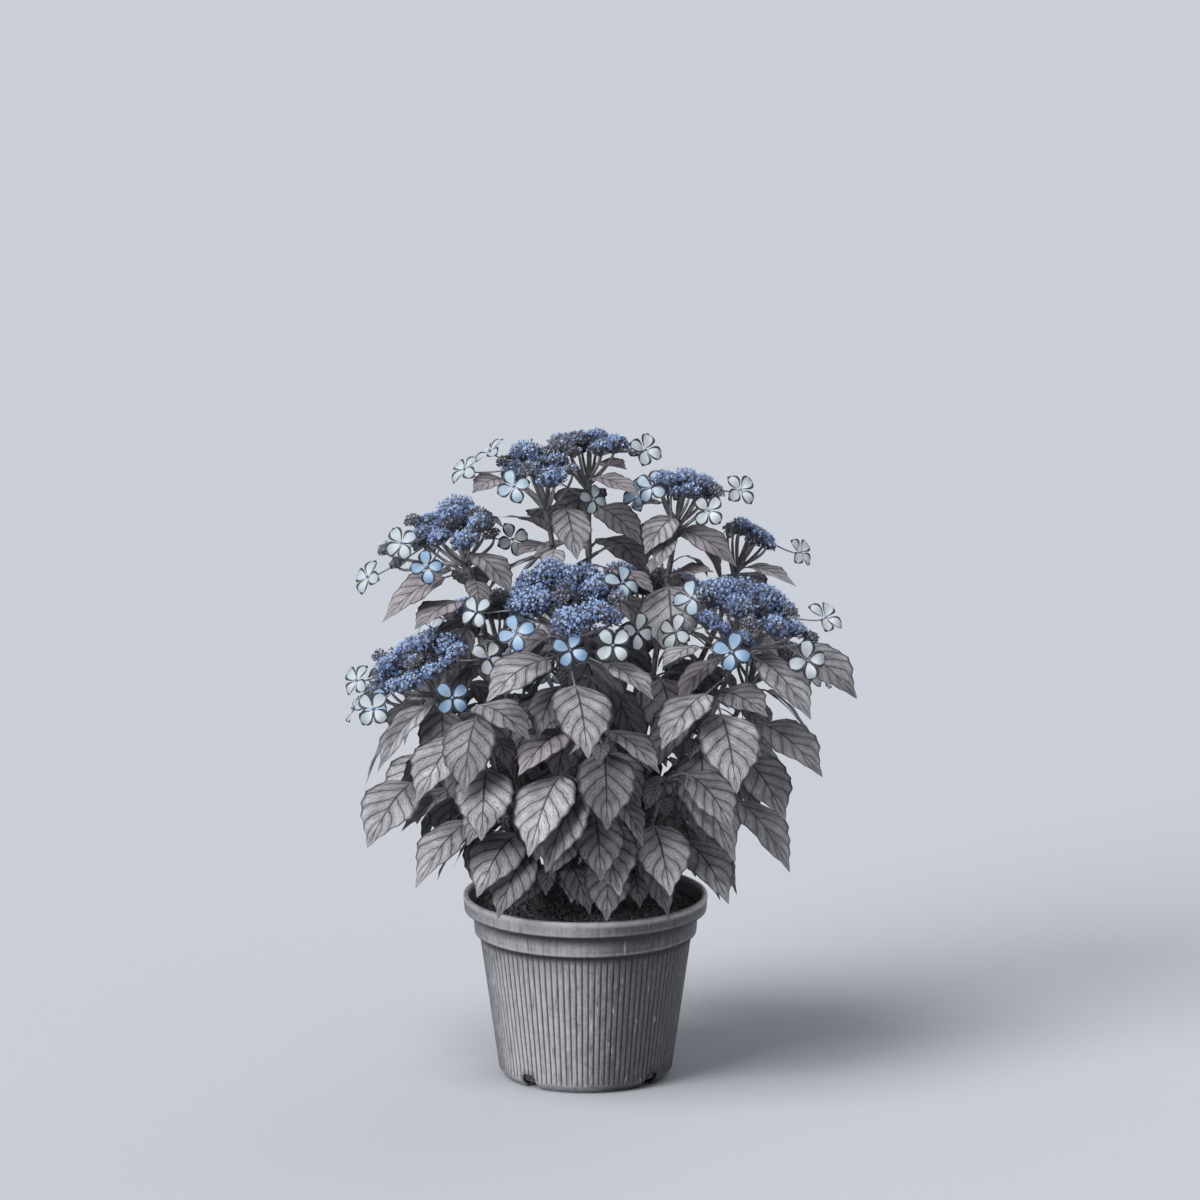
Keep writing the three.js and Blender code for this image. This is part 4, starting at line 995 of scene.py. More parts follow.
stalkPiece = makeStalks(shootMaterial("leaf_stalk_skin", "#5f5f62", "#8f8f92", "#a3a3a3"))
shootPiece = makePiece("green_shoots", joinShapes(shootTube(shoot, k) for k, shoot in enumerate(everyShoot)),
                       shootMaterial("green_shoot_skin", "#565557", "#868587", "#a5a39f"))
barkPiece = makePiece("bark", joinShapes(barkTube(part, k) for k, part in enumerate(limbs)), barkMaterial())
print("stems meshed")

blossomLook = {
    "spacing": 3.6, "squash": 0.8, "below": 0.35, "lumpShare": 0.86, "flowerRadius": 2.5, "budRadius": 1.35,
    "midRadius": 0.3, "ringRadius": 0.33, "ringOut": 0.64, "depthShare": 0.72, "planeRise": 0.2,
    "hubDepth": 0.6, "openShare": 0.66, "budOpenShare": 0.15, "greyBuds": 0.78, "blueBuds": 0.1,
    # from midFrom on: the fertile flowers' painted light and shade, by lump, by how proud and by how high
    # each sits
    "midFrom": -0.01, "lightFrom": 0.42, "lumpToneAndPaintedShade": {"l": 0.2, "s": -0.4}, "evenProud": 0.93,
    "proudPaintedLight": 2.4, "evenHeight": 0.3, "heightPaintedLight": 0.75, "goldenAngle": 2.39996,
}


# Where the lumps of fertile flowers lie. One that shows is put where a line of sight from the front
# through its offset meets the head's plane; the others stand in a ring, with one in the middle.
def clustersOf(plan, seed):
    look = blossomLook
    head, axis, radius = plan["head"], plan["axis"], plan["head"]["radius"]
    tilt = math.radians(frontTilt)
    chance = chanceFrom(seed)
    made = []

    def addLump(at, size, kind):
        made.append(dict(at=at, radius=size, kind=kind, hub=at - axis * size * look["hubDepth"]))

    for across, rise, size, kind in head["lumps"]:
        slope = axis[1] - axis[2] * math.tan(tilt)
        behind = radius * look["planeRise"] - across * axis[0] - rise * axis[2] / math.cos(tilt)
        edge = look["depthShare"] * math.sqrt(max(0, radius * radius - across * across))
        behind = min(edge, max(-edge, behind / slope))
        addLump(plan["centre"] + fromFront(across, rise, behind), size * look["lumpShare"], kind)
    for degrees in (25, 62, 98, 134, 168) if made else range(-30, 330, 45):
        size = radius * look["ringRadius"] * chance(0.85, 1.15)
        turn, out = degrees + chance(-9, 9), look["ringOut"] * chance(0.94, 1.06)
        addLump(domePoint(plan, turn, out, chance(-0.08, 0.06)), size, "g" if chance(0, 1) < 0.25 else "b")
    # the middle lump of a head with listed lumps is kind s, painted shade
    addLump(domePoint(plan, 0, 0, 0.1), radius * look["midRadius"], "s" if head["lumps"] else "b")
    return made


# Flowers of a lump: a golden-angle spiral of points on a squashed ball, down to a little below its
# middle, each jittered; its axis is the ball's normal there, tipped a little towards the head's. The last
# result is the painted light and shade of each, lighter the further it stands out and the higher it sits.
def clusterSpots(plan, cluster, seed):
    look = blossomLook
    draw = np.random.default_rng(seed)
    count = max(10, int(2 * np.pi * cluster["radius"] ** 2 * (1 + look["below"]) / look["spacing"] ** 2))
    k = np.arange(count) + 0.5
    height = 1 - k / count * (1 + look["below"])
    turn = k * look["goldenAngle"] + draw.uniform(0, 6.28)
    girth = np.sqrt(np.maximum(0, 1 - height ** 2))
    local = np.stack([girth * np.cos(turn), girth * np.sin(turn), height], -1)
    local = local + draw.normal(0, 0.05, (count, 3))
    basis = np.stack([plan["right"], plan["away"], plan["axis"]])
    proud = draw.uniform(0.78, 1.08, count)
    size = np.array([1, 1, look["squash"]]) * cluster["radius"] * proud[:, None]
    axes = unit((local * (1, 1, 1.5)) @ basis + plan["axis"] * 0.25 + draw.normal(0, 0.16, (count, 3)))
    light = (proud - look["evenProud"]) * look["proudPaintedLight"]
    light = light + (height - look["evenHeight"]) * look["heightPaintedLight"]
    return cluster["at"] + (local * size) @ basis, axes, light


# One fertile flower, radius 1: five pointed petals from a shared centre, a round ovary of eight faces
# and five stamens as slivers.
def flowerShape():
    turn = np.arange(5)[:, None] * 2 * np.pi / 5

    def rays(spread, out, height):
        spread, height = turn + spread, np.broadcast_to(height, (5, 3))
        return np.stack([out * np.cos(spread), out * np.sin(spread), height], -1).reshape(-1, 3)

    petals = rays([-0.42, 0, 0.42], np.array([0.55, 1.0, 0.55]), [0.16, 0.02, 0.16])
    ovary = [(0.26, 0, 0.2), (0, 0.26, 0.2), (-0.26, 0, 0.2), (0, -0.26, 0.2), (0, 0, 0.5), (0, 0, -0.1)]
    stamens = rays([0.13, 1.13, 0.63], np.array([0.12, 0.12, 0.62]), [0.1, 0.1, 1.25])
    first = 1 + 3 * np.arange(5)[:, None]
    k = np.arange(4)[:, None]
    tris = [first * [0, 1, 1] + [0, 0, 1], first * [0, 1, 1] + [0, 1, 2],
            np.concatenate([16 + k, 16 + (k + 1) % 4, 20 + 0 * k], 1),
            np.concatenate([16 + (k + 1) % 4, 16 + k, 21 + 0 * k], 1), first + [21, 22, 23]]
    return np.concatenate([[(0, 0, 0)], petals, ovary, stamens]), noQuads, np.concatenate(tris)


# One bud, radius 1: a ball of twenty faces, a little taller than wide
def budShape():
    g = (1 + 5 ** 0.5) / 2
    points = np.array([
        (-1, g, 0), (1, g, 0), (-1, -g, 0), (1, -g, 0), (0, -1, g), (0, 1, g), (0, -1, -g), (0, 1, -g),
        (g, 0, -1), (g, 0, 1), (-g, 0, -1), (-g, 0, 1)])
    tris = np.array([
        (0, 11, 5), (0, 5, 1), (0, 1, 7), (0, 7, 10), (0, 10, 11), (1, 5, 9), (5, 11, 4), (11, 10, 2),
        (10, 7, 6), (7, 1, 8), (3, 9, 4), (3, 4, 2), (3, 2, 6), (3, 6, 8), (3, 8, 9), (4, 9, 5), (2, 4, 11),
        (6, 2, 10), (8, 6, 7), (9, 8, 1)])
    return unit(points) * (1, 1, 1.25), noQuads, tris


# One flower stalk, radius and length 1: three sides that widen a little from the fork up to the flower
def pedicelShape():
    turn = np.arange(3) * 2 * np.pi / 3
    ring = np.stack([np.cos(turn), np.sin(turn), np.zeros(3)], -1)
    tris = [(0, 1, 4), (0, 4, 3), (1, 2, 5), (1, 5, 4), (2, 0, 3), (2, 3, 5), (0, 2, 1), (3, 4, 5)]
    return np.concatenate([ring * 0.6 - (0, 0, 1), ring]), noQuads, np.array(tris)


# Soft petal of a fertile flower or bud: matt with a light velvet sheen, mottled so neighbours differ
def petalMaterial(name, low, mid, high):
    material, add = newMaterial(name)
    where = add("TexCoord").outputs["Object"]
    mottle = add("TexNoise", {"Vector": where, "Scale": 260.0, "Detail": 3.0, "Roughness": 0.7})
    ground = add("ValToRGB", mottle, stops=[(0.36, low), (0.64, high), (0.5, mid)])
    closeSkin(add, ground, mottle, 0.3, 0.0004, {"Roughness": 0.62, "Specular IOR Level": 0.25,
                                                 "Sheen Weight": 0.2, "Sheen Roughness": 0.5})
    return material


# deep is nearly black and stands for shade: it goes to sunk and low flowers as painted shade, and light goes
# to proud and high ones, partly as painted light
fertileColours = {
    "deep": ("#11151f", "#252e42", "#3d4a64"),
    "mid": ("#495b83", "#687fac", "#879fc7"),
    "light": ("#7c96c2", "#9db7dc", "#c0d2ea"),
    "bud": ("#34343c", "#68686f", "#9b9ba1"),
}
petalMaterials = {key: petalMaterial("fertile_petal_" + key, *stops) for key, stops in fertileColours.items()}


# The dealt kind of each flower in a lump: grey lumps are mostly bud, and the others run from deep, as painted
# shade where they are sunk or low down, to light, as painted light where they stand proud; shaded lumps are
# painted deeper all through
def dealKinds(kind, light, draw):
    dealt = draw.uniform(0, 1, len(light))
    light = light + draw.uniform(-0.16, 0.16, len(light)) + blossomLook["lumpToneAndPaintedShade"].get(kind, 0)
    blue = np.where(light < blossomLook["midFrom"], 0, np.where(light < blossomLook["lightFrom"], 1, 2))
    return np.where(dealt < blossomLook["greyBuds" if kind == "g" else "blueBuds"], 3, blue)


# fertile flowers: open or in bud by chance, each on a stalk from its lump's hub
def makeFertile(stalkMaterial):
    look = blossomLook
    flowers = {key: [] for key in fertileColours}
    pedicels = []
    for h, shoot in enumerate(flowering):
        draw = np.random.default_rng(600 + h)
        for c, cluster in enumerate(clustersOf(shoot["plan"], 800 + h)):
            places, axes, light = clusterSpots(shoot["plan"], cluster, 1000 * h + c)
            reach = places - cluster["hub"]
            sizes = np.linalg.norm(reach, axis=1)[:, None] * (0, 0, 0.8) + (0.42, 0.42, 0)
            pedicels.append(scatter(pedicelShape(), places, unit(reach), np.zeros(len(places)), sizes))
            kinds = dealKinds(cluster["kind"], light, draw)
            openShare = np.where(kinds == 3, look["budOpenShare"], look["openShare"])
            isOpen = draw.uniform(0, 1, len(places)) < openShare
            for index, key in enumerate(fertileColours):
                for shape, size, mine in ((flowerShape(), look["flowerRadius"], (kinds == index) & isOpen),
                                          (budShape(), look["budRadius"], (kinds == index) & ~isOpen)):
                    spins = draw.uniform(0, 6.28, mine.sum())
                    sizes = size * draw.uniform(0.8, 1.15, (mine.sum(), 1))
                    flowers[key].append(scatter(shape, places[mine], axes[mine], spins, sizes))
    made = [makePiece("fertile_flowers_" + key, joinShapes(parts), petalMaterials[key], smooth=False)
            for key, parts in flowers.items()]
    return made, makePiece("pedicels", joinShapes(pedicels), stalkMaterial)


rayLook = {"rayRadius": 2.0, "twigRadius": 0.85, "twigsPerRay": 6}


# Rays: each leaves the flower stem a little below its tip, bows outwards and runs into one lump, where
# it splits into short twigs that fan out to the lump's underside.
def makeRays(material):
    look = rayLook
    mains, twigs = [], []
    for h, shoot in enumerate(flowering):
        plan = shoot["plan"]
        axis = plan["axis"]
        draw = np.random.default_rng(300 + h)
        for cluster in clustersOf(plan, 800 + h):
            hub, start = cluster["hub"], plan["foot"] - axis * draw.uniform(-4, 12)
            flat = hub - start - axis * ((hub - start) @ axis)
            curve = bezier(start, start + axis * 8 + flat * 0.3, hub - axis * 10 - flat * 0.08, hub)
            mains.append(pointsAlong(curve, 0, 1, 7))
            for k in range(look["twigsPerRay"]):
                turn = k * 2 * math.pi / look["twigsPerRay"] + draw.uniform(0, 0.8)
                way = plan["right"] * math.cos(turn) + plan["away"] * math.sin(turn)
                end = cluster["at"] + way * cluster["radius"] * draw.uniform(0.45, 0.8)
                bow = bezier(hub, hub + axis * 3, mix(hub, end, 0.6) - axis * 1.5, end)
                twigs.append(pointsAlong(bow, 0, 1, 4))
    mainRadii = np.tile(np.linspace(look["rayRadius"] * 1.1, look["rayRadius"] * 0.7, 8), (len(mains), 1))
    twigRadii = np.tile(np.linspace(look["twigRadius"], look["twigRadius"] * 0.6, 5), (len(twigs), 1))
    both = [tubes(np.stack(mains), mainRadii, 6), tubes(np.stack(twigs), twigRadii, 4)]
    return makePiece("rays", joinShapes(both), material)


sepalLook = {
    "rows": 7, "across": 5, "widthShare": 0.41, "cup": 0.14, "lift": 0.35, "start": 0.13, "wave": 0.35,
}


# Sepal: a grid of along and across. Its half-width is a sine of a power of along, so it is narrow at the
# claw and broad and round beyond the middle; it dishes by the square of across and droops at its end.
def sepalGrid(floret, turn, draw, raised):
    look = sepalLook
    right, rise = floretAxes(floret)
    along, across = pairsOf(np.linspace(0, 1, look["rows"]), np.linspace(-1, 1, look["across"]))
    radius = floret["radius"] * draw.uniform(0.95, 1.03)
    half = radius * look["widthShare"] * np.sin(np.pi * np.clip(along, 0.02, 0.985) ** 1.12) ** 0.6
    lean = draw.uniform(-0.1, 0.16)
    out = radius * (look["start"] + (1 - look["start"]) * along * (1 - 0.05 * across ** 2 * along))
    lift = raised + radius * (lean * along + 0.1 * np.sin(np.pi * along) - 0.07 * along ** 3)
    wave = look["wave"] * np.sin(along * 6 + across * 3 + draw.uniform(0, 6.28))
    lift = lift + half * (look["cup"] * across ** 2) + wave
    angle = math.radians(floret["spin"] + turn)
    ahead = -right * math.cos(angle) + rise * math.sin(angle)
    sideways = right * math.sin(angle) + rise * math.cos(angle)
    flat = floret["at"] + ahead * out[:, None] + sideways * (across * half)[:, None]
    return flat + floret["face"] * lift[:, None], np.stack([across * 0.5 + 0.5, along], -1)


# Showy sepal, a petal-like leaf: thin and satin, with fine veins fanning from its claw, a darker rim
# and a pale heart.
def sepalMaterial(name, look):
    material, add = newMaterial(name)
    sideways, along, across = bladeShares(add)
    fan = add("Math", sideways, 9.0, operation="MULTIPLY")  # veins about 1.5 mm apart
    line = add("Math", fan, 0.5, operation="PINGPONG")
    veins = add("MapRange", line, 0.04, 0.22, 0.3, 0.0)
    ground = add("ValToRGB", along, stops=[(0.0, look["heart"]), (0.8, look["tip"]), (0.4, look["mid"])])
    edgeSide = add("MapRange", across, 0.63, 0.7, 0.0, 0.97)
    edgeEnd = add("MapRange", along, 0.83, 0.87, 0.0, 0.97)
    edge = add("Math", edgeSide, edgeEnd, operation="MAXIMUM")
    lines = add("Math", edge, veins, operation="MAXIMUM")
    colour = add("Mix", {0: lines, 6: ground, 7: look["rim"]}, data_type="RGBA")
    closeSkin(add, colour, veins, 0.4, 0.0004, {"Roughness": 0.5, "Specular IOR Level": 0.3,
                                                "Sheen Weight": 0.15})
    return material


# l is a lighter copy for florets that face away from the lamps or sit in shade: painted light
sepalColours = {
    "b": dict(name="sky_blue", heart="#b3c4d2", mid="#8da8c3", tip="#7a96b6", rim="#1b2230"),
    "p": dict(name="pale_blue", heart="#bfcad2", mid="#a4b5c2", tip="#93a7b6", rim="#1f2630"),
    "l": dict(name="painted_light_white", heart="#e0e5e8", mid="#d0d7db", tip="#bfc9ce", rim="#22282e"),
    "w": dict(name="greyish_white", heart="#bfc6ca", mid="#acb6bc", tip="#9ba6ae", rim="#22282e"),
}


# Florets: four sepals round a bead, on a thin stalk that bows from the head
def makeFlorets(stalkMaterial):
    look = sepalLook
    blades = {key: [] for key in sepalColours}
    stalks, hearts = [], []
    for h, shoot in enumerate(flowering):
        plan = shoot["plan"]
        for k, floret in enumerate(plan["florets"]):
            at, face = floret["at"], floret["face"]
            draw = np.random.default_rng(5000 + 40 * h + k)
            for n in range(4):
                blade = sepalGrid(floret, 90 * n + draw.uniform(-5, 5), draw, look["lift"] * (n % 2))
                blades[floret["tint"]].append(blade)
            root, end = stalkRoot(plan, floret), at - face * 0.4
            curve = bezier(root, root + (at - root) * 0.4 - plan["axis"] * 3, end - face * 8, end)
            stalks.append(pointsAlong(curve, 0, 1, 9))
            hearts.append((at + face * 1.4, face))
    quads = gridQuads(look["rows"], look["across"], False)[:, ::-1]
    made = []
    for key, colours in sepalColours.items():
        shape, uv = joinGrids(blades[key], quads)
        material = sepalMaterial("showy_sepal_" + colours["name"], colours)
        made.append(makePiece("showy_sepals_" + colours["name"], shape, material, uv=uv))
    radii = np.tile(np.linspace(1.0, 0.7, 10), (len(stalks), 1))
    made.append(makePiece("floret_stalks", tubes(np.stack(stalks), radii, 6), stalkMaterial))
    places, axes = (np.array(a) for a in zip(*hearts))
    beads = scatter(budShape(), places, axes, np.zeros(len(places)), np.full((len(places), 1), 1.9))
    return made + [makePiece("floret_hearts", beads, petalMaterials["mid"])]


raySkin = shootMaterial("flower_ray_skin", "#6a696e", "#8f8e92", "#a8a7ac")
fertilePieces, pedicelPiece = makeFertile(raySkin)
rayPiece = makeRays(raySkin)
floretPieces = makeFlorets(raySkin)
print("blossom meshed:", sum(len(p.data.polygons) for p in fertilePieces), "faces of fertile flowers")

potLook = {
    "columns": 816, "bodyRows": 11, "ribs": 102, "grooveDepth": 1.4, "collarGroove": 0.3, "notchSteps": 7,
    "notchShoulder": 6, "notchNear": 68, "notchFar": 104, "waver": [(3, 0.01, 0.12), (7, 0.02, 0.08)],
}
rimFoot = potSize["height"] - potSize["rimDepth"]
collarFoot = rimFoot - potSize["collarDepth"]


# Pot: a profile of radius and height turned round the axis. On the body, and more faintly on the collar,
# a power of the cosine of the bearing cuts narrow upright grooves between flat ribs.
def makePot():
    size, look = potSize, potLook
    foot, bevel, wall = size["footRadius"], size["footBevel"], size["wall"]
    bodyFoot, bodyTop = size["bodyFootRadius"], size["bodyTopRadius"]
    collar, rim, top = size["collarRadius"], size["rimRadius"], size["height"]
    inner = rim - size["lip"]
    bodyZ = np.linspace(bevel + 0.8, collarFoot - 1.6, look["bodyRows"])
    bodyR = mix(bodyFoot, bodyTop, (bodyZ - bevel) / (collarFoot - bevel))
    outside = [
        (40, 0), (foot - 4, 0), (foot - 0.3, 0), (foot + 0.2, 0.2), (foot + 4, 4), (foot + 7.5, 7.5),
        (bodyFoot - 0.1, bevel + 0.2), *zip(bodyR, bodyZ), (bodyTop + 0.4, collarFoot - 0.6),
        (collar - 3.2, collarFoot - 0.2), (collar - 1.7, collarFoot + 0.5), (collar - 1.4, collarFoot + 2),
        (collar - 0.9, collarFoot + 9), (collar - 0.4, rimFoot - 5), (collar, rimFoot - 1),
        (collar + 1.2, rimFoot - 0.3), (rim - 3, rimFoot + 0.1), (rim - 1.5, rimFoot + 0.7),
        (rim - 1, rimFoot + 2), (rim - 0.6, rimFoot + 9), (rim - 0.1, top - 4), (rim, top - 2.4),
        (rim - 0.5, top - 0.9), (rim - 1.8, top - 0.1), (rim - 3, top)]
    inside = [
        (inner + 1, top - 0.2), (inner, top - 1.6), (inner - 0.3, top - 6), (collar - wall + 1, rimFoot),
        (collar - wall, rimFoot - 3), (collar - wall - 1, collarFoot + 2), (bodyTop - wall, collarFoot - 3),
        (bodyFoot - wall, bevel), (foot - 1, wall), (30, wall)]
    r, z = np.array(outside + inside, float).T[..., None]
    turn = np.arange(look["columns"]) * 2 * np.pi / look["columns"]
    isOut = (np.arange(len(r)) < len(outside))[:, None]
    body = isOut & (z > bevel + 1) & (z < collarFoot - 1)
    band = isOut & (z > collarFoot + 1) & (z < rimFoot - 2) & (r > collar - 2)
    groove = np.clip(np.cos(turn * look["ribs"]), 0, 1)[None] ** 2
    uneven = relief(turn[None], z, look["waver"], 5) * isOut * (r > 90) * (r < rim - 1)
    radius = r + uneven - groove * (look["grooveDepth"] * body + look["collarGroove"] * band)
    z = np.broadcast_to(z, radius.shape)
    shape = turnedShape(radius * np.cos(turn), radius * np.sin(turn), z, 0, wall)
    return cutNotches(makePiece("ribbed_pot", shape, potMaterial()))


# Drain notch: an arch, flat-topped with round shoulders, pushed radially through the foot of the wall
def notchCutter(index):
    half, top, bend = potSize["notchWidth"] / 2, potSize["notchHeight"], potLook["notchShoulder"]
    angle = np.linspace(0, np.pi / 2, potLook["notchSteps"])
    right = np.stack([half - bend + bend * np.cos(angle), top - bend + bend * np.sin(angle)], -1)
    arch = np.concatenate([[(-half, -3), (half, -3)], right, (right * (-1, 1))[::-1]])
    turn = potSize["notchTurn"] + 180 + index * 90
    flat = arch[:, :1] * bearing(turn + 90) + arch[:, 1:] * up
    points = np.concatenate([flat + bearing(turn) * potLook[end] for end in ("notchNear", "notchFar")])
    fan = fanOf(len(arch))
    shape = points, gridQuads(2, len(arch), True), np.concatenate([fan, fan[:, ::-1] + len(arch)])
    return makePiece("notch_%d" % index, shape, smooth=False)


# takes the four arches out of the pot
def cutNotches(pot):
    cutters = [notchCutter(k) for k in range(4)]
    for cutter in cutters:
        cut = pot.modifiers.new(cutter.name, "BOOLEAN")
        cut.operation, cut.solver, cut.object = "DIFFERENCE", "EXACT", cutter
    finished = bpy.data.meshes.new_from_object(pot.evaluated_get(bpy.context.evaluated_depsgraph_get()))
    pot.modifiers.clear()
    pot.data = finished
    for cutter in cutters:
        bpy.data.objects.remove(cutter)
    return pot


# Injection-moulded polypropylene, grey, with weather streaks and stains: satin ribs with a soft gleam,
# painted shade in the grooves, under the two bands and more faintly over the collar and rim, darker towards
# the foot, painted highlights on the lower corners of both bands and the lip, fine slashes where pots have
# scraped together, and painted light on the side towards the lamps.
def potMaterial():
    # the darkest colour here is the painted shade, the palest is for slashes and painted highlights, and the
    # turn is the middle of the side painted lighter
    look = {"low": "#434246", "mid": "#656468", "high": "#acabaf", "paintedShade": "#121117", "scratchesAndHighlight": "#c4c3c7",
            "stain": "#333137", "litSideTurn": math.radians(120)}
    material, add = newMaterial("moulded_polypropylene")
    where = add("TexCoord").outputs["Object"]
    x, y, z = add("SeparateXYZ", where).outputs
    share = add("Math", z, 1 / (potSize["height"] * 0.001), operation="MULTIPLY")
    # bearing counted in ribs, so 0 falls in a groove and 0.5 midway on a rib
    angle = add("Math", y, x, operation="ARCTAN2")
    counted = add("Math", angle, potLook["ribs"] / (2 * math.pi), operation="MULTIPLY")
    fromGroove = add("Math", counted, 0.5, operation="PINGPONG")
    groove = add("MapRange", fromGroove, 0.07, 0.2, 1.0, 0.0)
    # how strongly the painted groove shade shows by height: body fully, collar faintly, rim hardly, sole not
    # at all
    low, high = collarFoot / potSize["height"], rimFoot / potSize["height"]
    onBody = add("ValToRGB", share, stops=[
        (0.04, "#000000"), (0.05, "#e8e8e8"), (low - 0.01, "#e8e8e8"), (low + 0.01, "#8a8a8a"),
        (high - 0.01, "#8a8a8a"), (high + 0.01, "#5a5a5a")])
    paintedGrooveShade = add("Math", groove, onBody, operation="MULTIPLY")
    # painted shade under the two bands, fainter over the collar and the rim, and darker towards the foot
    paintedCreaseShade = add("ValToRGB", share, stops=[
        (0.0, "#b0b0b0"), (0.05, "#101010"), (low - 0.16, "#202020"), (low - 0.05, "#909090"),
        (low - 0.02, "#f4f4f4"), (low + 0.004, "#ffffff"), (low + 0.01, "#787878"), (high - 0.07, "#808080"),
        (high - 0.025, "#f4f4f4"), (high + 0.006, "#ffffff"), (high + 0.012, "#808080")])
    # painted highlights along the lower corners of both bands and the lip's edge
    edgeHighlightBands = add("ValToRGB", share, stops=[
        (0.0, "#000000"), (low + 0.008, "#000000"), (low + 0.016, "#b0b0b0"), (low + 0.026, "#000000"),
        (high + 0.01, "#000000"), (high + 0.018, "#808080"), (high + 0.03, "#000000"), (0.965, "#000000"),
        (0.985, "#ffffff")])
    # upright streaks of weathering about 3 mm wide: noise drawn out twenty times as tall as wide
    tall = add("Mapping", where, {"Scale": (1, 1, 0.05)})
    streaks = add("TexNoise", {"Vector": tall, "Scale": 300.0, "Detail": 4.0, "Roughness": 0.6})
    cloud = add("TexNoise", {"Vector": where, "Scale": 160.0, "Detail": 8.0, "Roughness": 0.8})
    mottled = add("Mix", {0: 0.4, 2: cloud, 3: streaks})
    # painted light: the side towards the lamps is painted lighter, by the cosine of the bearing from its
    # middle
    fromLitSide = add("Math", add("Math", angle, look["litSideTurn"]), operation="COSINE")
    paintedLitSide = add("MapRange", fromLitSide, 0.55, 1.0, 0.0, 0.26, interpolation_type="SMOOTHSTEP")
    # the mottle, plus the painted light on the side towards the lamps
    mottleAndPaintedLight = add("Math", mottled, 0.8, paintedLitSide, operation="MULTIPLY_ADD")
    ground = add("ValToRGB", mottleAndPaintedLight, stops=[(0.28, look["low"]), (0.7, look["high"]), (0.45, look["mid"])])
    stain = add("MapRange", streaks, 0.42, 0.3, 0.0, 0.35)
    stained = add("Mix", {0: stain, 6: ground, 7: look["stain"]}, data_type="RGBA")
    worn = add("TexNoise", {"Vector": where, "Scale": 60.0, "Detail": 8.0, "Roughness": 0.75})
    # noise breaks up the painted edge highlights
    highlightBreakup = add("MapRange", worn, 0.36, 0.56, 0.35, 1.0)
    paintedEdgeHighlight = add("Math", edgeHighlightBands, highlightBreakup, operation="MULTIPLY")
    # slashes about 0.5 mm wide, where slanting drawn-out noise peaks
    slant = add("Mapping", where, {"Rotation": (0.5, 0.3, 0.4), "Scale": (1, 1, 0.05)})
    scratch = add("TexNoise", {"Vector": slant, "Scale": 330.0, "Detail": 2.0})
    slashes = add("MapRange", scratch, 0.68, 0.73, 0.0, 0.8)
    # the slashes and the painted edge highlights, both in the pale colour
    pale = add("Math", paintedEdgeHighlight, slashes, operation="MAXIMUM")
    scratchesAndHighlight = add("Mix", {0: pale, 6: stained, 7: look["scratchesAndHighlight"]}, data_type="RGBA")
    # painted shade in the grooves, under the bands and towards the foot, all in the darkest colour
    paintedShadeShare = add("Math", paintedGrooveShade, paintedCreaseShade, operation="MAXIMUM")
    colour = add("Mix", {0: paintedShadeShare, 6: scratchesAndHighlight, 7: look["paintedShade"]}, data_type="RGBA")
    grain = add("TexNoise", {"Vector": where, "Scale": 900.0, "Detail": 2.0})
    rough = add("Math", grain, 0.4, streaks, operation="MULTIPLY_ADD")
    gloss = add("MapRange", worn, 0.3, 0.7, 0.34, 0.5)
    closeSkin(add, colour, rough, 0.3, 0.0004, {"Roughness": gloss, "IOR": 1.49, "Specular IOR Level": 0.5})
    return material


potPiece = makePot()
print("pot meshed:", len(potPiece.data.polygons), "faces")

compostLook = {"columns": 120, "rings": 36, "reach": 112, "waves": [
    (1, 0.3, 0.6), (-0.4, 1, 0.6), (1.7, 1.1, 0.35), (-1.2, 1.9, 0.3), (2.9, -2.1, 0.2)]}


# height of the compost's surface: a low mound, lumpy by cosines of place
def compostHeight(x, y):
    out = np.clip((np.hypot(x, y) - compostSize["plateauRadius"]) / 50, 0, 1)
    mound = compostSize["level"] - compostSize["edgeDrop"] * out ** 1.3
    return mound + relief(x / 9, y / 9, compostLook["waves"], 11) - 1.6


# Compost: rings of points from the pot's floor up inside its wall, then inwards over the mound
def makeCompost(material):
    size = potSize
    inset = size["wall"] + 0.5
    edge = size["collarRadius"] - inset + 1.5
    turn = np.arange(compostLook["columns"]) * 2 * np.pi / compostLook["columns"]
    wallR = [size["footRadius"] - 2 * inset, size["bodyFootRadius"] - inset - 1,
             size["bodyTopRadius"] - inset - 0.5, size["collarRadius"] - inset - 0.5, edge]
    wallZ = np.array([size["wall"] + 0.4, size["footBevel"], collarFoot - 3, rimFoot - 3, rimFoot + 2])
    r = np.concatenate([wallR, edge * np.linspace(0.985, 0.03, compostLook["rings"])])[:, None]
    x, y = r * np.cos(turn), r * np.sin(turn)
    z = compostHeight(x, y)
    z[:len(wallZ)] = wallZ[:, None]
    return makePiece("compost_surface", turnedShape(x, y, z, wallZ[0], compostHeight(0, 0)), material)


# Crumbs, bark chips and grit: balls of twenty faces, stretched and turned by chance, half sunk in
def makeCrumbs(name, count, low, high, stretch, seed, material):
    draw = np.random.default_rng(seed)
    out = np.sqrt(draw.uniform(0, 1, count)) * compostLook["reach"]
    turn = draw.uniform(0, 6.28, count)
    x, y = out * np.cos(turn), out * np.sin(turn)
    size = draw.uniform(low, high, count)
    places = np.stack([x, y, compostHeight(x, y) + size * 0.15], -1)
    ball, quads, tris = budShape()
    axes = unit(draw.normal(0, 1, (count, 3)) * (1, 1, 0.5) + (0, 0, 0.4))
    rough = ball * stretch * np.random.default_rng(seed + 1).uniform(0.75, 1.2, (len(ball), 1))
    shape = scatter((rough, quads, tris), places, axes, draw.uniform(0, 6.28, count), size[:, None])
    return makePiece(name, shape, material, smooth=False)


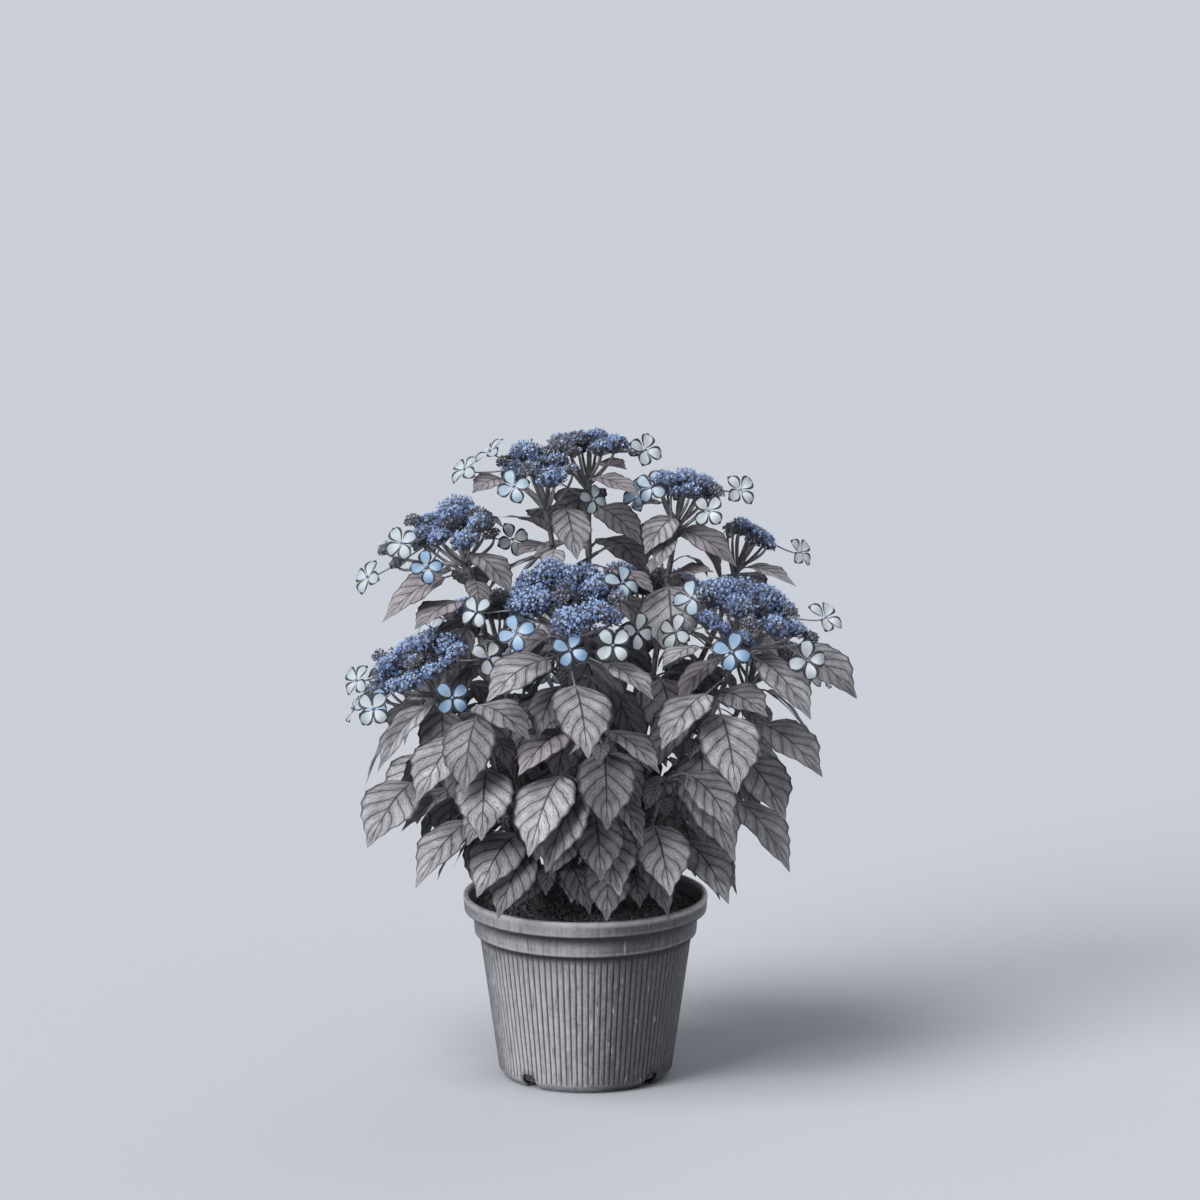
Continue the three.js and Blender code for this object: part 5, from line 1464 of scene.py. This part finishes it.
# Moist compost: dark crumbs with fibres; matt, with a few wet glints
def earthMaterial(name, low, mid, high, roughness):
    material, add = newMaterial(name)
    where = add("TexCoord").outputs["Object"]
    crumbs = add("TexNoise", {"Vector": where, "Scale": 160.0, "Detail": 8.0, "Roughness": 0.7})
    lumps = add("TexVoronoi", {"Vector": where, "Scale": 240.0})  # grains about 4 mm across
    ground = add("ValToRGB", crumbs, stops=[(0.36, low), (0.68, high), (0.52, mid)])
    height = add("Math", lumps, -0.7, crumbs, operation="MULTIPLY_ADD")
    closeSkin(add, ground, height, 0.9, 0.0025, {"Roughness": roughness, "Specular IOR Level": 0.25})
    return material


compostPiece = makeCompost(earthMaterial("moist_compost", "#3b3940", "#625f66", "#88848b", 0.9))
crumbPieces = [
    makeCrumbs("compost_crumbs", 2600, 1.1, 2.9, (1, 1, 0.9), 21,
               earthMaterial("compost_crumb", "#424047", "#67646b", "#8a868d", 0.92)),
    makeCrumbs("bark_chips", 420, 2.4, 5.2, (1, 0.55, 0.32), 31,
               earthMaterial("bark_chip", "#4a4546", "#6c6564", "#8b8380", 0.85)),
    makeCrumbs("grit", 90, 1.0, 2.0, (1, 0.9, 0.9), 41,
               earthMaterial("grit_stone", "#7d7b7b", "#98969a", "#b4b2b2", 0.7)),
]
print("compost meshed")


# what a piece rides on and the solids it stands for, by how their names start; slot, the finish it takes, is
# not used
def settle(piece, slot, *starts):
    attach(piece, "root")
    if starts:
        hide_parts(*[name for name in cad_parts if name.startswith(starts)])


for piece in (leafPiece, stalkPiece, shootPiece):
    settle(piece, "leafy_growth", "leafy_shoot_", "flowering_shoot_")
for piece in fertilePieces + floretPieces + [pedicelPiece, rayPiece]:
    settle(piece, "flowering_growth", "flowering_shoot_")
settle(barkPiece, "bark", "cane_", "bough_")
settle(potPiece, "pot", "pot")
settle(compostPiece, "compost", "compost")
for piece in crumbPieces:
    settle(piece, "compost")

stageLook = {
    "floor": "#b5b8be", "sky": "#e6eaf0", "skyStrength": 0.42, "distance": 30.0, "lens": 848.3,
    "clipEnd": 600, "aim": (0.0154, 0.0, 0.5185), "floorReach": 60000, "floorDrop": 0.4, "floorLines": 25,
    "lights": [
        ("key_light", 1.7, (-0.34, -0.30, 0.89), 30), ("low_light", 2.5, (-0.66, -0.58, 0.48), 32),
        ("back_light", 0.6, (0.45, 0.75, 0.48), 60)],
}


# an object that holds data, looking along a way
def placeThing(name, data, way):
    thing = addThing(name, data)
    thing.rotation_euler = Vector(way).to_track_quat("-Z", "Y").to_euler()
    return thing


# Stage: a very large flat floor that fills the view, an even sky, and three broad soft lights. The camera
# stands far off with a long lens, so that upright lines stay upright and sizes don't change with depth.
def makeStage():
    look = stageLook
    lines = np.linspace(-look["floorReach"], look["floorReach"], look["floorLines"])
    x, y = pairsOf(lines, lines)
    quads = gridQuads(len(lines), len(lines), False)[:, ::-1]
    material = bpy.data.materials.new("painted_floor")
    material.use_nodes = True
    paint = material.node_tree.nodes["Principled BSDF"].inputs
    paint["Base Color"].default_value = linear(look["floor"])
    paint["Roughness"].default_value, paint["Specular IOR Level"].default_value = 0.95, 0.0
    points = np.stack([x, y, np.full(x.shape, -look["floorDrop"])], -1)
    makePiece("floor", (points, quads, noTris), material, smooth=False)
    scene = bpy.context.scene
    scene.view_settings.view_transform = "Standard"
    scene.world = bpy.data.worlds.new("soft_studio")
    scene.world.use_nodes = True
    sky = scene.world.node_tree.nodes["Background"].inputs
    sky["Color"].default_value, sky["Strength"].default_value = linear(look["sky"]), look["skyStrength"]
    for name, strength, origin, softness in look["lights"]:
        light = bpy.data.lights.new(name, "SUN")
        light.energy, light.angle = strength, math.radians(softness)
        placeThing(name, light, -np.array(origin))
    tilt = math.radians(frontTilt)
    way = np.array([0, math.cos(tilt), -math.sin(tilt)])
    lens = bpy.data.cameras.new("camera")
    lens.lens, lens.sensor_width, lens.clip_end = look["lens"], 36, look["clipEnd"]
    scene.camera = placeThing("camera", lens, way)
    scene.camera.location = np.array(look["aim"]) - way * look["distance"]


makeStage()
print("stage set")
